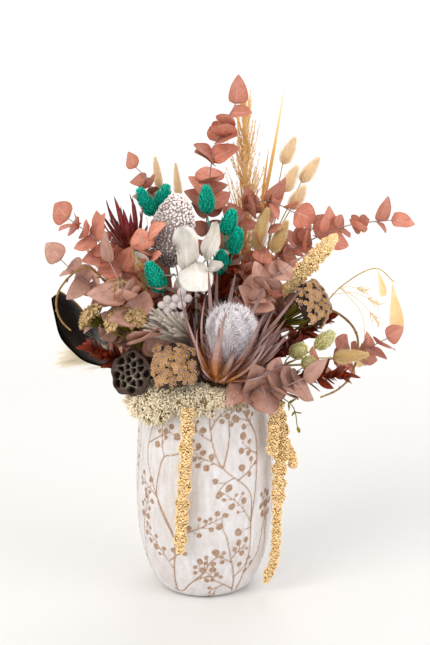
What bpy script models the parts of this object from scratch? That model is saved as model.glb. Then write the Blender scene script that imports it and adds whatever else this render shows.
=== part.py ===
# Dried flower arrangement in a ceramic vase.
# Metres, +Z up. The origin is the centre of the vase's foot, and the front faces -Y.
# Every stem stands in its own hole in a block of dry foam inside the vase.

import math
import random

import bmesh
import bpy
from mathutils import Matrix, Vector
from mathutils.bvhtree import BVHTree

MM = 0.001
UP = Vector((0, 0, 1))

# Vase
VASE_HEIGHT = 242 * MM
VASE_SIDES = 28
FOOT_RADIUS = 45 * MM
WALL = 6 * MM
FLOOR = 9 * MM
# Outer profile as height and radius: rounded foot, full belly, mouth drawn in a little.
VASE_PROFILE_MM = [(0, 45), (4, 55), (12, 61.5), (32, 70), (70, 79), (125, 82), (185, 80),
                   (230, 75.5), (242, 72.5)]

# Foam block and the stems that stand in it
FOAM_TOP = 230 * MM
FOAM_GAP = 0.4 * MM
STEM_DEPTH = 16 * MM
HOLE_GAP = 0.45 * MM
HOLE_COUNT = 64
HOLE_FIELD = 55 * MM
REACH_AT_EDGE = 190 * MM
HOLE_TRIES = 6
THICK_STEM = 5 * MM

# Clearance kept between any two plants, and how a stem is bent to find it
CLEAR = 0.45 * MM
SWELL_LIMIT = 2.5
BEND_STEP = 6 * MM
BEND_RINGS = 7
BEND_TURNS = 8

GOLDEN_TURN = math.pi * (3 - math.sqrt(5))

COLOURS = {
    "glazed_clay": ((0.80, 0.76, 0.71), 0.65),
    "foam": ((0.20, 0.17, 0.13), 0.95),
    "eucalyptus": ((0.50, 0.22, 0.17), 0.70),
    "mauve_leaf": ((0.40, 0.25, 0.22), 0.70),
    "red_leaf": ((0.16, 0.04, 0.03), 0.65),
    "teal": ((0.01, 0.36, 0.27), 0.80),
    "green_seed": ((0.48, 0.50, 0.24), 0.85),
    "cream_fluff": ((0.76, 0.66, 0.44), 0.95),
    "straw": ((0.78, 0.58, 0.30), 0.90),
    "gold_bead": ((0.80, 0.60, 0.28), 0.85),
    "grey_banksia": ((0.52, 0.44, 0.40), 0.90),
    "grey_bract": ((0.36, 0.25, 0.23), 0.75),
    "red_bract": ((0.24, 0.06, 0.06), 0.70),
    "silver_bud": ((0.55, 0.51, 0.49), 0.90),
    "yarrow": ((0.62, 0.42, 0.17), 0.90),
    "tan_flower": ((0.50, 0.38, 0.20), 0.90),
    "lotus_pod": ((0.08, 0.06, 0.06), 0.85),
    "black_spathe": ((0.015, 0.015, 0.016), 0.45),
    "bleached_leaf": ((0.85, 0.82, 0.77), 0.70),
    "papery_pod": ((0.90, 0.82, 0.62), 0.60),
    "willow": ((0.42, 0.26, 0.12), 0.80),
    "moss": ((0.70, 0.61, 0.42), 0.95),
    "grey_moss": ((0.45, 0.38, 0.28), 0.95),
    "green_leaf": ((0.30, 0.34, 0.08), 0.80),
}

finished = []
stem_feet = []
used_holes = set()


def mm(x, y, z):
    return Vector((x, y, z)) * MM


def material_for(name):
    material = bpy.data.materials.get(name)
    if material is None:
        colour, roughness = COLOURS[name]
        material = bpy.data.materials.new(name)
        material.use_nodes = True
        shader = material.node_tree.nodes["Principled BSDF"]
        shader.inputs["Base Color"].default_value = (*colour, 1)
        shader.inputs["Roughness"].default_value = roughness
        shader.inputs["Metallic"].default_value = 0.0
    return material


# Curves through points

def smooth_path(points, steps):
    """Points read from a Catmull-Rom curve through the given points."""
    first = points[0] * 2 - points[1]
    last = points[-1] * 2 - points[-2]
    ends = [first, *points, last]
    path = []
    for a, b, c, d in zip(ends, ends[1:], ends[2:], ends[3:]):
        for i in range(steps):
            t = i / steps
            path.append(0.5 * ((2 * b) + (c - a) * t + (2 * a - 5 * b + 4 * c - d) * t * t
                               + (3 * b - a - 3 * c + d) * t ** 3))
    path.append(points[-1])
    return path


def along(path, share):
    """The point and the direction at a share of a path's length."""
    lengths = [(b - a).length for a, b in zip(path, path[1:])]
    left = share * sum(lengths)
    for (a, b), length in zip(zip(path, path[1:]), lengths):
        if left <= length or b is path[-1]:
            return a.lerp(b, left / length), (b - a).normalized()
        left -= length


def frame_of(direction, towards):
    """Rotation whose Y axis is the direction and whose Z axis leans towards the other vector."""
    y = direction.normalized()
    x = y.cross(towards)
    if x.length < 1e-6:
        x = y.orthogonal()
    x.normalize()
    return Matrix((x, y, x.cross(y))).transposed()


# Closed bodies that a plant is joined from

def loft(rings, start=None, end=None):
    """A closed body through rings of equal count, closed by flat caps or by end points."""
    bm = bmesh.new()
    loops = [[bm.verts.new(p) for p in ring] for ring in rings]
    for lower, upper in zip(loops, loops[1:]):
        for i in range(len(lower)):
            j = (i + 1) % len(lower)
            bm.faces.new((lower[i], lower[j], upper[j], upper[i]))
    for loop, point, turned in ((loops[0], start, True), (loops[-1], end, False)):
        if point is None:
            bm.faces.new(reversed(loop) if turned else loop)
            continue
        tip = bm.verts.new(point)
        for i in range(len(loop)):
            j = (i + 1) % len(loop)
            bm.faces.new((loop[j], loop[i], tip) if turned else (loop[i], loop[j], tip))
    bmesh.ops.recalc_face_normals(bm, faces=bm.faces)
    return bm


def stem_sides(radius, sides=None):
    """Thin stems have three sides and thick ones four, unless a count is given."""
    return sides or (4 if radius * 2 >= THICK_STEM else 3)


def tube(path, radii, sides=None):
    """A stem along a path, with the radius at each point."""
    sides = stem_sides(max(radii), sides)
    rings = []
    across = (path[1] - path[0]).orthogonal().normalized()
    for i, point in enumerate(path):
        run = (path[min(i + 1, len(path) - 1)] - path[max(i - 1, 0)]).normalized()
        across = (across - run * across.dot(run)).normalized()
        other = run.cross(across)
        rings.append([point + (across * math.cos(a) + other * math.sin(a)) * radii[i]
                      for a in (2 * math.pi * k / sides for k in range(sides))])
    return loft(rings)


def studded(path, radius, sides, rings, stud, lean):
    """A head along a path whose surface is raised in a chequer of points, like scales or florets."""
    across = (path[1] - path[0]).orthogonal().normalized()
    loops = []
    for i in range(rings):
        share = (i + 1) / (rings + 1)
        centre, run = along(path, share)
        across = (across - run * across.dot(run)).normalized()
        other = run.cross(across)
        loop = []
        for k in range(sides):
            a = 2 * math.pi * k / sides
            out = across * math.cos(a) + other * math.sin(a)
            raised = (i + k) % 2 == 0
            height = stud if raised else 0
            loop.append(centre + out * (radius(share) + height) + run * (lean if raised else 0))
        loops.append(loop)
    bm = bmesh.new()
    verts = [[bm.verts.new(p) for p in loop] for loop in loops]
    foot, tip = bm.verts.new(path[0]), bm.verts.new(path[-1])
    for i in range(rings - 1):
        for k in range(sides):
            n = (k + 1) % sides
            a, b, c, d = verts[i][k], verts[i][n], verts[i + 1][n], verts[i + 1][k]
            if (i + k) % 2:
                bm.faces.new((a, b, c))
                bm.faces.new((a, c, d))
            else:
                bm.faces.new((a, b, d))
                bm.faces.new((b, c, d))
    for k in range(sides):
        n = (k + 1) % sides
        bm.faces.new((verts[0][n], verts[0][k], foot))
        bm.faces.new((verts[-1][k], verts[-1][n], tip))
    bmesh.ops.recalc_face_normals(bm, faces=bm.faces)
    return bm


def ovoid(widest, at):
    """Radius along an egg-shaped head that is widest at the given share."""
    def radius(share):
        x = share / at if share < at else (1 - share) / (1 - at)
        return widest * math.sqrt(max(0.0, 1 - (1 - x) ** 2))
    return radius


def blade(base, direction, facing, length, width, thick, stations, bow=0.0, cup=0.0, wave=0.0):
    """A thin leaf or petal with a raised middle line; stations give share of length and of width."""
    turn = frame_of(direction, facing)

    def place(x, y, z):
        return base + turn @ Vector((x, y, z))

    def arch(share):
        return bow * length * math.sin(math.pi * share) + wave * length * math.sin(5 * share)

    bm = bmesh.new()
    foot = bm.verts.new(place(0, 0, 0))
    tip = bm.verts.new(place(0, length, arch(1)))
    rows = []
    for share, wide in stations:
        half = width * wide / 2
        middle, side = arch(share), arch(share) + cup * half
        ripple = wave * half * math.cos(9 * share)
        rows.append((
            bm.verts.new(place(-half, length * share, side + ripple)),
            bm.verts.new(place(0, length * share, middle + thick / 2)),
            bm.verts.new(place(0, length * share, middle - thick / 2)),
            bm.verts.new(place(half, length * share, side - ripple)),
        ))
    for face in (1, 2):
        left, right = rows[0][0], rows[0][3]
        bm.faces.new((foot, rows[0][face], left))
        bm.faces.new((foot, right, rows[0][face]))
        for low, high in zip(rows, rows[1:]):
            bm.faces.new((low[0], low[face], high[face]))
            bm.faces.new((low[0], high[face], high[0]))
            bm.faces.new((low[face], low[3], high[face]))
            bm.faces.new((low[3], high[3], high[face]))
        bm.faces.new((rows[-1][0], rows[-1][face], tip))
        bm.faces.new((rows[-1][face], rows[-1][3], tip))
    bmesh.ops.recalc_face_normals(bm, faces=bm.faces)
    return bm


def leaf(base, direction, facing, length, width, thick, stations, cup=0.0):
    """A broad dished leaf: its outline joined to one middle point on each face."""
    turn = frame_of(direction, facing)

    def place(x, y, z):
        return base + turn @ Vector((x, y * length, z))

    left = [(-width * wide / 2, share, cup * width * wide / 2) for share, wide in stations]
    right = [(-x, y, z) for x, y, z in reversed(left)]
    bm = bmesh.new()
    outline = [bm.verts.new(place(*p)) for p in [(0, 0, 0), *left, (0, 1, 0), *right]]
    middle = sum(share for share, _ in stations) / len(stations)
    for side in (1, -1):
        centre = bm.verts.new(place(0, middle, side * thick / 2))
        for a, b in zip(outline, outline[1:] + outline[:1]):
            bm.faces.new((a, b, centre) if side < 0 else (b, a, centre))
    bmesh.ops.recalc_face_normals(bm, faces=bm.faces)
    return bm


def ball(centre, radius):
    bm = bmesh.new()
    bmesh.ops.create_icosphere(bm, subdivisions=1, radius=radius)
    bmesh.ops.translate(bm, verts=bm.verts, vec=centre)
    return bm


def spike(base, direction, length, radius):
    """A three-sided needle with its root at the base point."""
    turn = frame_of(direction, UP)
    corners = [base + turn @ Vector((radius * math.cos(a), 0, radius * math.sin(a)))
               for a in (2 * math.pi * k / 3 for k in range(3))]
    return loft([corners], end=base + direction.normalized() * length)


# Keeping plants clear of each other

def swell(bm, gap):
    """Moves every face out by the gap. Sharp edges move further, up to a limit."""
    bm.normal_update()
    steps = [vert.normal * gap * min(vert.calc_shell_factor(), SWELL_LIMIT) for vert in bm.verts]
    for vert, step in zip(bm.verts, steps):
        vert.co += step


def swollen(bm, gap):
    """A search tree of the body with its surface moved out by the gap."""
    copy = bm.copy()
    swell(copy, gap)
    tree = BVHTree.FromBMesh(copy)
    points = [vert.co.copy() for vert in copy.verts]
    copy.free()
    return tree, points


def is_inside(tree, point):
    """True when a ray from the point leaves the body an odd number of times."""
    crossings = 0
    hit = tree.ray_cast(point, UP)[0]
    while hit is not None:
        crossings += 1
        hit = tree.ray_cast(hit + UP * 1e-6, UP)[0]
    return crossings % 2 == 1


def is_clear(bm, gap=CLEAR):
    tree, points = swollen(bm, gap)
    low = Vector(map(min, *points))
    high = Vector(map(max, *points))
    for other, other_low, other_high in finished:
        if any(low[i] > other_high[i] or high[i] < other_low[i] for i in range(3)):
            continue
        if tree.overlap(other):
            return False
        if is_inside(other, points[0]):
            return False
    return True


def over_mouth(bm):
    """True when nothing of the body dips into the vase's mouth."""
    return all(vert.co.z > VASE_HEIGHT + 2 * MM or vert.co.xy.length > 80 * MM for vert in bm.verts)


def remember(mesh):
    points = [vert.co.copy() for vert in mesh.vertices]
    faces = [tuple(face.vertices) for face in mesh.polygons]
    finished.append((BVHTree.FromPolygons(points, faces), Vector(map(min, *points)),
                     Vector(map(max, *points))))


# Joining pieces into one solid

def largest_body(mesh):
    """Keeps the largest body, because a cut can leave scraps beside it."""
    bm = bmesh.new()
    bm.from_mesh(mesh)
    bodies, seen = [], set()
    for start in bm.faces:
        if start in seen:
            continue
        body, edge = {start}, [start]
        while edge:
            for side in edge.pop().edges:
                for face in side.link_faces:
                    if face not in body:
                        body.add(face)
                        edge.append(face)
        seen |= body
        bodies.append(body)
    keep = max(bodies, key=len)
    for body in bodies:
        if body is not keep:
            print(mesh.name, "lost a scrap with", len(body), "faces")
    bmesh.ops.delete(bm, geom=[f for f in bm.faces if f not in keep], context="FACES")
    bmesh.ops.triangulate(bm, faces=bm.faces)
    bm.to_mesh(mesh)
    bm.free()


def boolean(body, others, operation, solver="MANIFOLD"):
    """One Boolean of a body with several others, applied."""
    helpers = bpy.data.collections.new("helpers")
    bpy.context.scene.collection.children.link(helpers)
    for bm in others:
        mesh = bpy.data.meshes.new("helper")
        bm.to_mesh(mesh)
        helpers.objects.link(bpy.data.objects.new("helper", mesh))
    modifier = body.modifiers.new(operation, "BOOLEAN")
    modifier.operation = operation
    modifier.operand_type = "COLLECTION"
    modifier.collection = helpers
    modifier.solver = solver
    bpy.context.view_layer.update()
    result = bpy.data.meshes.new_from_object(body.evaluated_get(bpy.context.evaluated_depsgraph_get()))
    body.modifiers.clear()
    body.data = result
    for helper in list(helpers.objects):
        bpy.data.objects.remove(helper)
    bpy.data.collections.remove(helpers)


def node(name, pieces, material, cuts=(), solver="MANIFOLD"):
    """One named solid joined from its pieces, less its cuts. The quick solver suits many pieces."""
    mesh = bpy.data.meshes.new(name)
    pieces[0].to_mesh(mesh)
    body = bpy.data.objects.new(name, mesh)
    bpy.context.scene.collection.objects.link(body)
    if len(pieces) > 1:
        boolean(body, pieces[1:], "UNION")
    if cuts:
        boolean(body, cuts, "DIFFERENCE", solver)
    body.data.name = name
    largest_body(body.data)
    body.data.materials.clear()
    body.data.materials.append(material_for(material))
    body.data.shade_smooth()
    body.data.set_sharp_from_angle(angle=math.radians(35))
    remember(body.data)
    return body


# Stems

def free_holes(reach):
    """The free holes in the foam, the one that best suits a plant reaching that way first."""
    flat = Vector((reach.x, reach.y, 0))
    far = HOLE_FIELD * min(1.0, math.sqrt(flat.length / REACH_AT_EDGE))
    wish = flat.normalized() * far if flat.length else flat
    holes = []
    for i in range(HOLE_COUNT):
        radius = HOLE_FIELD * math.sqrt((i + 0.5) / HOLE_COUNT)
        angle = i * GOLDEN_TURN
        holes.append(Vector((radius * math.cos(angle), radius * math.sin(angle), 0)))
    free = [i for i in range(HOLE_COUNT) if i not in used_holes]
    free.sort(key=lambda i: (holes[i] - wish).length)
    return [(i, holes[i]) for i in free]


def bends():
    """Sideways shifts of a stem's knee, from none outwards."""
    yield Vector((0, 0, 0))
    for ring in range(1, BEND_RINGS + 1):
        for turn in range(BEND_TURNS):
            angle = 2 * math.pi * (turn + 0.5 * (ring % 2)) / BEND_TURNS
            yield Vector((math.cos(angle), math.sin(angle), 0.4 * math.sin(2 * angle))) * ring * BEND_STEP


def rooted_path(points, bend, hole, steps=2):
    """The stem's curve: straight up out of its hole, over a knee and through its points."""
    mouth = Vector((hole.x, hole.y, FOAM_TOP + 3 * MM))
    span = (points[0] - mouth).length
    knee = mouth.lerp(points[0], 0.5) + UP * 0.16 * span + bend
    curve = smooth_path([mouth, knee, *points], steps)
    return [mouth - UP * (STEM_DEPTH + 3 * MM), *curve]


def rooted_stem(name, points, thick, tip_thick=None, steps=2, sides=None):
    """A stem from its hole through the points, bent clear of what already stands there."""
    tip_thick = tip_thick or thick
    for number, hole in free_holes(points[0])[:HOLE_TRIES]:
        for bend in bends():
            path = rooted_path(points, bend, hole, steps)
            last = len(path) - 1
            radii = [(thick + (tip_thick - thick) * i / last) / 2 for i in range(len(path))]
            stem = tube(path, radii, sides)
            if is_clear(stem):
                used_holes.add(number)
                stem_feet.append((hole, radii[0], stem_sides(radii[0], sides)))
                return stem, path
            stem.free()
    print("no clear way for the stem of", name)
    number, hole = free_holes(points[0])[0]
    used_holes.add(number)
    stem_feet.append((hole, thick / 2, stem_sides(thick / 2, sides)))
    path = rooted_path(points, Vector((0, 0, 0)), hole, steps)
    return tube(path, [thick / 2] * len(path)), path


# Plants

LEAF_TRIES = [(shrink, turn) for shrink in (1, 0.8, 0.62)
              for turn in (0, 0.5, -0.5, 1.0, -1.0, 1.6, -1.6, 2.4, -2.4, 3.0)]
LEAF_ROUND = ((0.24, 0.94), (0.66, 0.90))
LEAF_POINTED = ((0.40, 1.0),)
LEAF_LONG = ((0.25, 0.8), (0.65, 0.75))
LEAF_CURLED = ((0.18, 0.75), (0.50, 1.0), (0.82, 0.70))


def leafy_spray(name, points, material, leaves, size, seed, start=0.35, shape=LEAF_ROUND,
                narrow=0.94, thick=2.6 * MM, lean=1.05, tip_leaf=True):
    """A stem with leaves in opposite pairs, each turned until it is clear of its neighbours."""
    draw = random.Random(seed)
    stem, path = rooted_stem(name, points, thick, 1.4 * MM)
    pieces = [stem]
    for i in range(leaves):
        share = start + (1 - start) * (i // 2 + 0.35) / ((leaves + 1) // 2)
        if tip_leaf and i == leaves - 1:
            share = 0.985
        at, run = along(path, min(share, 0.985))
        side = run.orthogonal().normalized()
        spin = math.pi * (i % 2) + 1.35 * (i // 2) + draw.uniform(-0.4, 0.4)
        length = size * MM * draw.uniform(0.82, 1.12) * (1.05 - 0.25 * share)
        dish = draw.uniform(0.10, 0.28)
        for shrink, turn in LEAF_TRIES:
            out = Matrix.Rotation(spin + turn, 3, run) @ side
            tilt = 0.35 if tip_leaf and i == leaves - 1 else lean
            heading = run * math.cos(tilt) + out * math.sin(tilt)
            facing = run * math.sin(tilt) - out * math.cos(tilt) + Vector((0, -0.9, 0.2))
            reach = length * shrink
            piece = leaf(at, heading, facing, reach, reach * narrow, 1.6 * MM, shape, dish)
            if over_mouth(piece) and is_clear(piece):
                pieces.append(piece)
                break
            piece.free()
        else:
            print(name, "leaf left out", i)
    return node(name, pieces, material)


def seed_heads(name, heads, material, widest, at, sides, rings, stud, lean, thick, joint=None):
    """One or more scaly or furry heads, each a base and a tip, on stems that meet at a joint."""
    joint = joint or heads[0][0]
    pieces = []
    if len(heads) == 1:
        stem, _ = rooted_stem(name, [joint], thick)
        pieces.append(stem)
    else:
        stem, _ = rooted_stem(name, [joint], thick * 1.4, thick)
        pieces.append(stem)
        for base, tip in heads:
            branch = [joint, joint.lerp(base, 0.5) + (base - tip) * 0.15, base]
            pieces.append(tube(branch, [thick / 2] * 3))
    for base, tip in heads:
        sunk = base + (base - tip).normalized() * 1.5 * MM
        pieces.append(studded([sunk, tip], ovoid(widest, at), sides, rings, stud, lean))
        if not is_clear(pieces[-1]):
            print("a head of", name, "is not clear")
    return node(name, pieces, material)


def banksia(name, base, tip):
    """A cone of packed florets on a thick stem."""
    stem, _ = rooted_stem(name, [base], 7 * MM)
    sunk = base + (base - tip).normalized() * 2 * MM
    cone = studded([sunk, tip], lambda s: 23 * MM * min(1, 4.2 * s, math.sqrt(max(0.03, 3.2 * (1 - s)))),
                   12, 11, 2.6 * MM, 2.0 * MM)
    return node(name, [stem, cone], "grey_banksia")


def crown_of_bracts(base, axis, rows, seed, thick):
    """Pointed bracts in rings round a head: each row gives count, radius, spread, length, width."""
    draw = random.Random(seed)
    side = axis.orthogonal().normalized()
    bracts = []
    for row, (count, radius, spread, length, width) in enumerate(rows):
        for i in range(count):
            for turn in (0, 0.12, -0.12, 0.24, -0.24):
                out = Matrix.Rotation(2 * math.pi * (i + 0.5 * (row % 2)) / count + turn, 3, axis) @ side
                reach = length * draw.uniform(0.86, 1.08)
                heading = axis * math.cos(spread) + out * math.sin(spread)
                start = base + axis * radius * 0.6 + out * radius
                bract = blade(start, heading, out * -1 + axis * 0.3, reach, width, thick, LEAF_POINTED, -0.04, 0.3)
                if is_clear(bract):
                    bracts.append(bract)
                    break
                bract.free()
    return bracts


def protea(name, base, axis):
    """A large head: a woolly dome held in rings of long pointed bracts."""
    axis = axis.normalized()
    stem, _ = rooted_stem(name, [base], 8 * MM)
    dome = studded([base - axis * 4 * MM, base + axis * 102 * MM], ovoid(24 * MM, 0.68),
                   12, 9, 2.8 * MM, 4.5 * MM)
    rows = ((7, 11 * MM, 0.26, 122 * MM, 9 * MM), (8, 9 * MM, 0.52, 130 * MM, 9 * MM),
            (4, 7 * MM, 0.95, 46 * MM, 10 * MM))
    bracts = crown_of_bracts(base, axis, rows, 11, 2.2 * MM)
    return node(name, [stem, dome, *bracts], "grey_bract")


def red_protea(name, base, axis):
    """A slim closed head of dark pointed bracts."""
    axis = axis.normalized()
    stem, _ = rooted_stem(name, [base], 4.5 * MM)
    core = studded([base - axis * 3 * MM, base + axis * 34 * MM], ovoid(11 * MM, 0.4), 6, 3, 1 * MM, 0)
    rows = ((5, 5 * MM, 0.18, 62 * MM, 9 * MM), (7, 7 * MM, 0.46, 58 * MM, 9 * MM),
            (4, 6 * MM, 0.90, 34 * MM, 9 * MM))
    bracts = crown_of_bracts(base, axis, rows, 23, 1.6 * MM)
    return node(name, [stem, core, *bracts], "red_bract")


def yarrow(name, centre, facing, wide, stem_points, seed):
    """A flat-topped head of small florets, carried on a few rays from one stem."""
    axis = facing.normalized()
    foot = centre - axis * wide * 0.55
    stem, _ = rooted_stem(name, [*stem_points, foot], 4 * MM)
    draw = random.Random(seed)

    def radius(share):
        flare = (share / 0.62) ** 1.6 if share < 0.62 else math.sqrt(max(0.0, 1 - ((share - 0.62) / 0.42) ** 2))
        return wide * 0.5 * max(0.12, flare)

    head = studded([foot - axis * 2 * MM, centre + axis * wide * 0.06], radius, 12, 6, 3.0 * MM, 4.5 * MM)
    for vert in head.verts:
        vert.co += Vector([draw.uniform(-0.7, 0.7) for _ in range(3)]) * MM
    return node(name, [stem, head], "yarrow")


def brunia(name, joint, tops, seed):
    """Silver buds on a fan of short branchlets."""
    draw = random.Random(seed)
    stem, _ = rooted_stem(name, [joint], 4 * MM)
    pieces = [stem]
    for top, buds, size in tops:
        branch = [joint - UP * 2 * MM, joint.lerp(top, 0.5) + UP * 4 * MM, top]
        pieces.append(tube(branch, [1.6 * MM, 1.5 * MM, 1.3 * MM]))
        for i in range(buds):
            angle = 2 * math.pi * i / max(1, buds - 1)
            away = Vector((math.cos(angle), -0.3 - 0.3 * draw.random(), math.sin(angle))).normalized()
            offset = away * size * (0.0 if i == 0 else 1.48)
            bud = ball(top + offset, size * draw.uniform(0.92, 1.08))
            if is_clear(bud):
                pieces.append(bud)
    return node(name, pieces, "silver_bud")


def lotus_pod(name, centre, facing):
    """A cone-shaped pod whose flat face has a pit for each seed."""
    axis = facing.normalized()
    back = centre - axis * 34 * MM
    stem, _ = rooted_stem(name, [back], 5 * MM)
    turn = frame_of(axis, UP)

    def ring(depth, radius, wave, sides=15):
        return [centre - axis * depth * MM + turn @ Vector((math.cos(a), 0, math.sin(a)))
                * (radius + wave * math.sin(5 * a)) * MM
                for a in (2 * math.pi * k / sides for k in range(sides))]

    pod = loft([ring(36, 3, 0), ring(26, 10, 0), ring(10, 22, 1), ring(2, 26, 1.2), ring(0, 23.5, 1.2)],
               end=centre + axis * 2.5 * MM)
    pits = []
    for i in range(11):
        radius = 19.0 * MM * math.sqrt((i + 0.4) / 11)
        angle = i * GOLDEN_TURN
        at = centre + turn @ Vector((radius * math.cos(angle), 0, radius * math.sin(angle)))
        inner = at - axis * 9 * MM
        outer = at + axis * 6 * MM
        pits.append(tube([inner, outer], [2.4 * MM, 3.4 * MM], 5))
    return node(name, [stem, pod], "lotus_pod", pits)


def flower_fans(name, joint, fans, material):
    """Crisp papery clusters, each a fan of florets on its own green stalk."""
    stem, _ = rooted_stem(name, [joint], 3.2 * MM)
    pieces = [stem]
    for base, tip, wide in fans:
        pieces.append(tube([joint - UP * 1 * MM, base], [1.5 * MM] * 2))
        sunk = base + (base - tip).normalized() * 2 * MM
        pieces.append(studded([sunk, tip], lambda s, w=wide: w * MM * (0.16 + 0.84 * s ** 1.3)
                              * (1 if s < 0.8 else 0.75), 8, 3, 2.0 * MM, 1.6 * MM))
    return node(name, pieces, material)


def plume(name, points, material, strands, length, spread, seed):
    """A grass plume: fine strands that rise from the top half of the stem."""
    draw = random.Random(seed)
    stem, path = rooted_stem(name, points, 3.4 * MM, 2.4 * MM, sides=4)
    start = 0.45
    pieces = [stem]
    for i in range(strands):
        climb = i / strands
        at, run = along(path, start + (0.98 - start) * climb)
        side = Matrix.Rotation(i * GOLDEN_TURN, 3, run) @ run.orthogonal().normalized()
        open_out = spread * (1.15 - 0.6 * climb) * draw.uniform(0.7, 1.2)
        heading = run * math.cos(open_out) + side * math.sin(open_out)
        reach = length * MM * (1.1 - 0.5 * climb) * draw.uniform(0.8, 1.15)
        for shrink in (1, 0.75, 0.5):
            strand = spike(at, heading, reach * shrink, 0.85 * MM)
            if is_clear(strand):
                pieces.append(strand)
                break
            strand.free()
    return node(name, pieces, material)


def amaranth(name, strands, material="gold_bead"):
    """Hanging ropes of tiny flowers: each strand is its path, its thickness and its ring count."""
    pieces = []
    for i, (points, wide, rings) in enumerate(strands):
        path = smooth_path(points, 4)
        if i == 0:
            over = Vector((points[0].x * 0.80, points[0].y * 0.80, VASE_HEIGHT + 9 * MM))
            stem, _ = rooted_stem(name, [over, points[0], points[0].lerp(points[1], 0.3)], 2.6 * MM)
            pieces.append(stem)
        beat = len(points) * 2.0

        def radius(share, w=wide, b=beat):
            swell = 0.86 + 0.16 * math.sin(2 * math.pi * share * b)
            return w * MM * swell * min(1, 9 * share + 0.35, 7 * (1 - share) + 0.45)

        pieces.append(studded(path, radius, 6, rings, 2.8 * MM, 1.4 * MM))
    return node(name, pieces, material)


def bleached_leaves(name, joint, leaves, material="bleached_leaf"):
    """Broad curled leaves, each given by its foot, tip, facing and width."""
    stem, _ = rooted_stem(name, [joint], 3 * MM)
    pieces = [stem]
    for foot, tip, facing, wide in leaves:
        stalk = [joint - UP * 1 * MM, joint.lerp(foot, 0.5), foot]
        pieces.append(tube(stalk, [1.3 * MM] * 3))
        run = tip - foot
        leaf = blade(foot - run.normalized() * 1.5 * MM, run, facing, run.length, wide * MM, 1.8 * MM,
                     LEAF_CURLED, -0.10, 0.42, 0.05)
        if not is_clear(leaf):
            print("a leaf of", name, "is not clear")
        pieces.append(leaf)
    return node(name, pieces, material)


def bare_twig(name, points, thick, tip_thick):
    """A twisted willow twig that loops back towards the vase, with a few buds."""
    stem, path = rooted_stem(name, points, thick, tip_thick, 3)
    pieces = [stem]
    for share in (0.45, 0.6, 0.75, 0.88):
        at, run = along(path, share)
        out = Matrix.Rotation(share * 9, 3, run) @ run.orthogonal().normalized()
        pieces.append(spike(at, out + run * 0.8, 6 * MM, 1.3 * MM))
    return node(name, pieces, "willow")


def black_spathe(name, base, tip, facing, wide):
    """A dark woody sheath, hollowed like a boat."""
    run = tip - base
    stem, _ = rooted_stem(name, [base], 5 * MM)
    turn = frame_of(run, facing)
    wall, sides = 2.6 * MM, 4
    rings = []
    for i in range(7):
        share = i / 6
        half = wide * MM / 2 * math.sin(math.pi * (0.06 + 0.88 * share)) ** 0.7
        bow = -0.16 * run.length * math.sin(math.pi * share)
        arc = [math.radians(-74 + 148 * k / sides) for k in range(sides + 1)]
        outer = [Vector((half * math.sin(a), run.length * share, bow - half * 0.62 * math.cos(a))) for a in arc]
        inner = [Vector((max(0, half - wall) * math.sin(a), run.length * share,
                         bow - max(0, half - wall) * 0.62 * math.cos(a) + wall * 0.6)) for a in reversed(arc)]
        rings.append([base + turn @ p for p in [*outer, *inner]])
    shell = loft(rings)
    bmesh.ops.triangulate(shell, faces=shell.faces)
    return node(name, [stem, shell], "black_spathe")


def papery_branch(name, points, pods, material="papery_pod"):
    """A thin arching stem with flat see-through pods hanging from it."""
    stem, path = rooted_stem(name, points, 1.8 * MM, 1.3 * MM)
    pieces = [stem]
    for share, hang, length, wide in pods:
        at, _ = along(path, share)
        pieces.append(blade(at, hang, Vector((0, -1, 0.1)), length * MM, wide * MM, 1.4 * MM,
                            LEAF_ROUND, 0.04, 0.1))
    return node(name, pieces, material)


def moss_clump(name, centre, size, material, seed, cuts):
    """A spongy clump that sits over the rim, shaped to the vase, the foam and the stems it meets."""
    draw = random.Random(seed)
    across = Vector((-centre.y, centre.x, 0)).normalized()
    half = across * size.x / 2
    middle = centre + Vector((centre.x, centre.y, 0)).normalized() * size.y * 0.12
    path = smooth_path([centre - half, middle, centre + half], 5)
    body = studded(path, ovoid(size.z / 2 - 1.5 * MM, 0.5), 8, 7, 4.4 * MM, 1.5 * MM)
    for vert in body.verts:
        vert.co += Vector([draw.uniform(-1.6, 1.6) for _ in range(3)]) * MM
    return node(name, [body], material, cuts, "EXACT")


# Vase and foam

def turned(profile, sides):
    """A closed body turned from a profile of height and radius whose ends lie on the axis."""
    bm = bmesh.new()
    points = [bm.verts.new((radius, 0, height)) for height, radius in profile]
    edges = [bm.edges.new(pair) for pair in zip(points, points[1:])]
    bmesh.ops.spin(bm, geom=[*points, *edges], cent=(0, 0, 0), axis=(0, 0, 1),
                   angle=2 * math.pi, steps=sides, use_merge=True)
    bmesh.ops.remove_doubles(bm, verts=bm.verts, dist=1e-6)
    bmesh.ops.recalc_face_normals(bm, faces=bm.faces)
    return bm


def radius_at(profile, height):
    """Radius of a profile of falling heights at a height."""
    for (h0, r0), (h1, r1) in zip(profile, profile[1:]):
        if height >= h1:
            return r0 + (r1 - r0) * (height - h0) / (h1 - h0)
    return profile[-1][1]


OUTSIDE = [(h * MM, r * MM) for h, r in VASE_PROFILE_MM]
# The inside follows the outside at the wall's thickness, with the lip's edge eased.
INSIDE = [(h * MM, radius_at(OUTSIDE[::-1], h * MM) - WALL) for h in (242, 125, 70, 32)]
INSIDE[0] = (VASE_HEIGHT, INSIDE[0][1] + 1.5 * MM)
INSIDE.append((FLOOR + 3 * MM, INSIDE[-1][1] - 10 * MM))


def vase():
    profile = [(0, 0), *OUTSIDE, *INSIDE, (FLOOR, 0)]
    return node("vase", [turned(profile, VASE_SIDES)], "glazed_clay")


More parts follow.
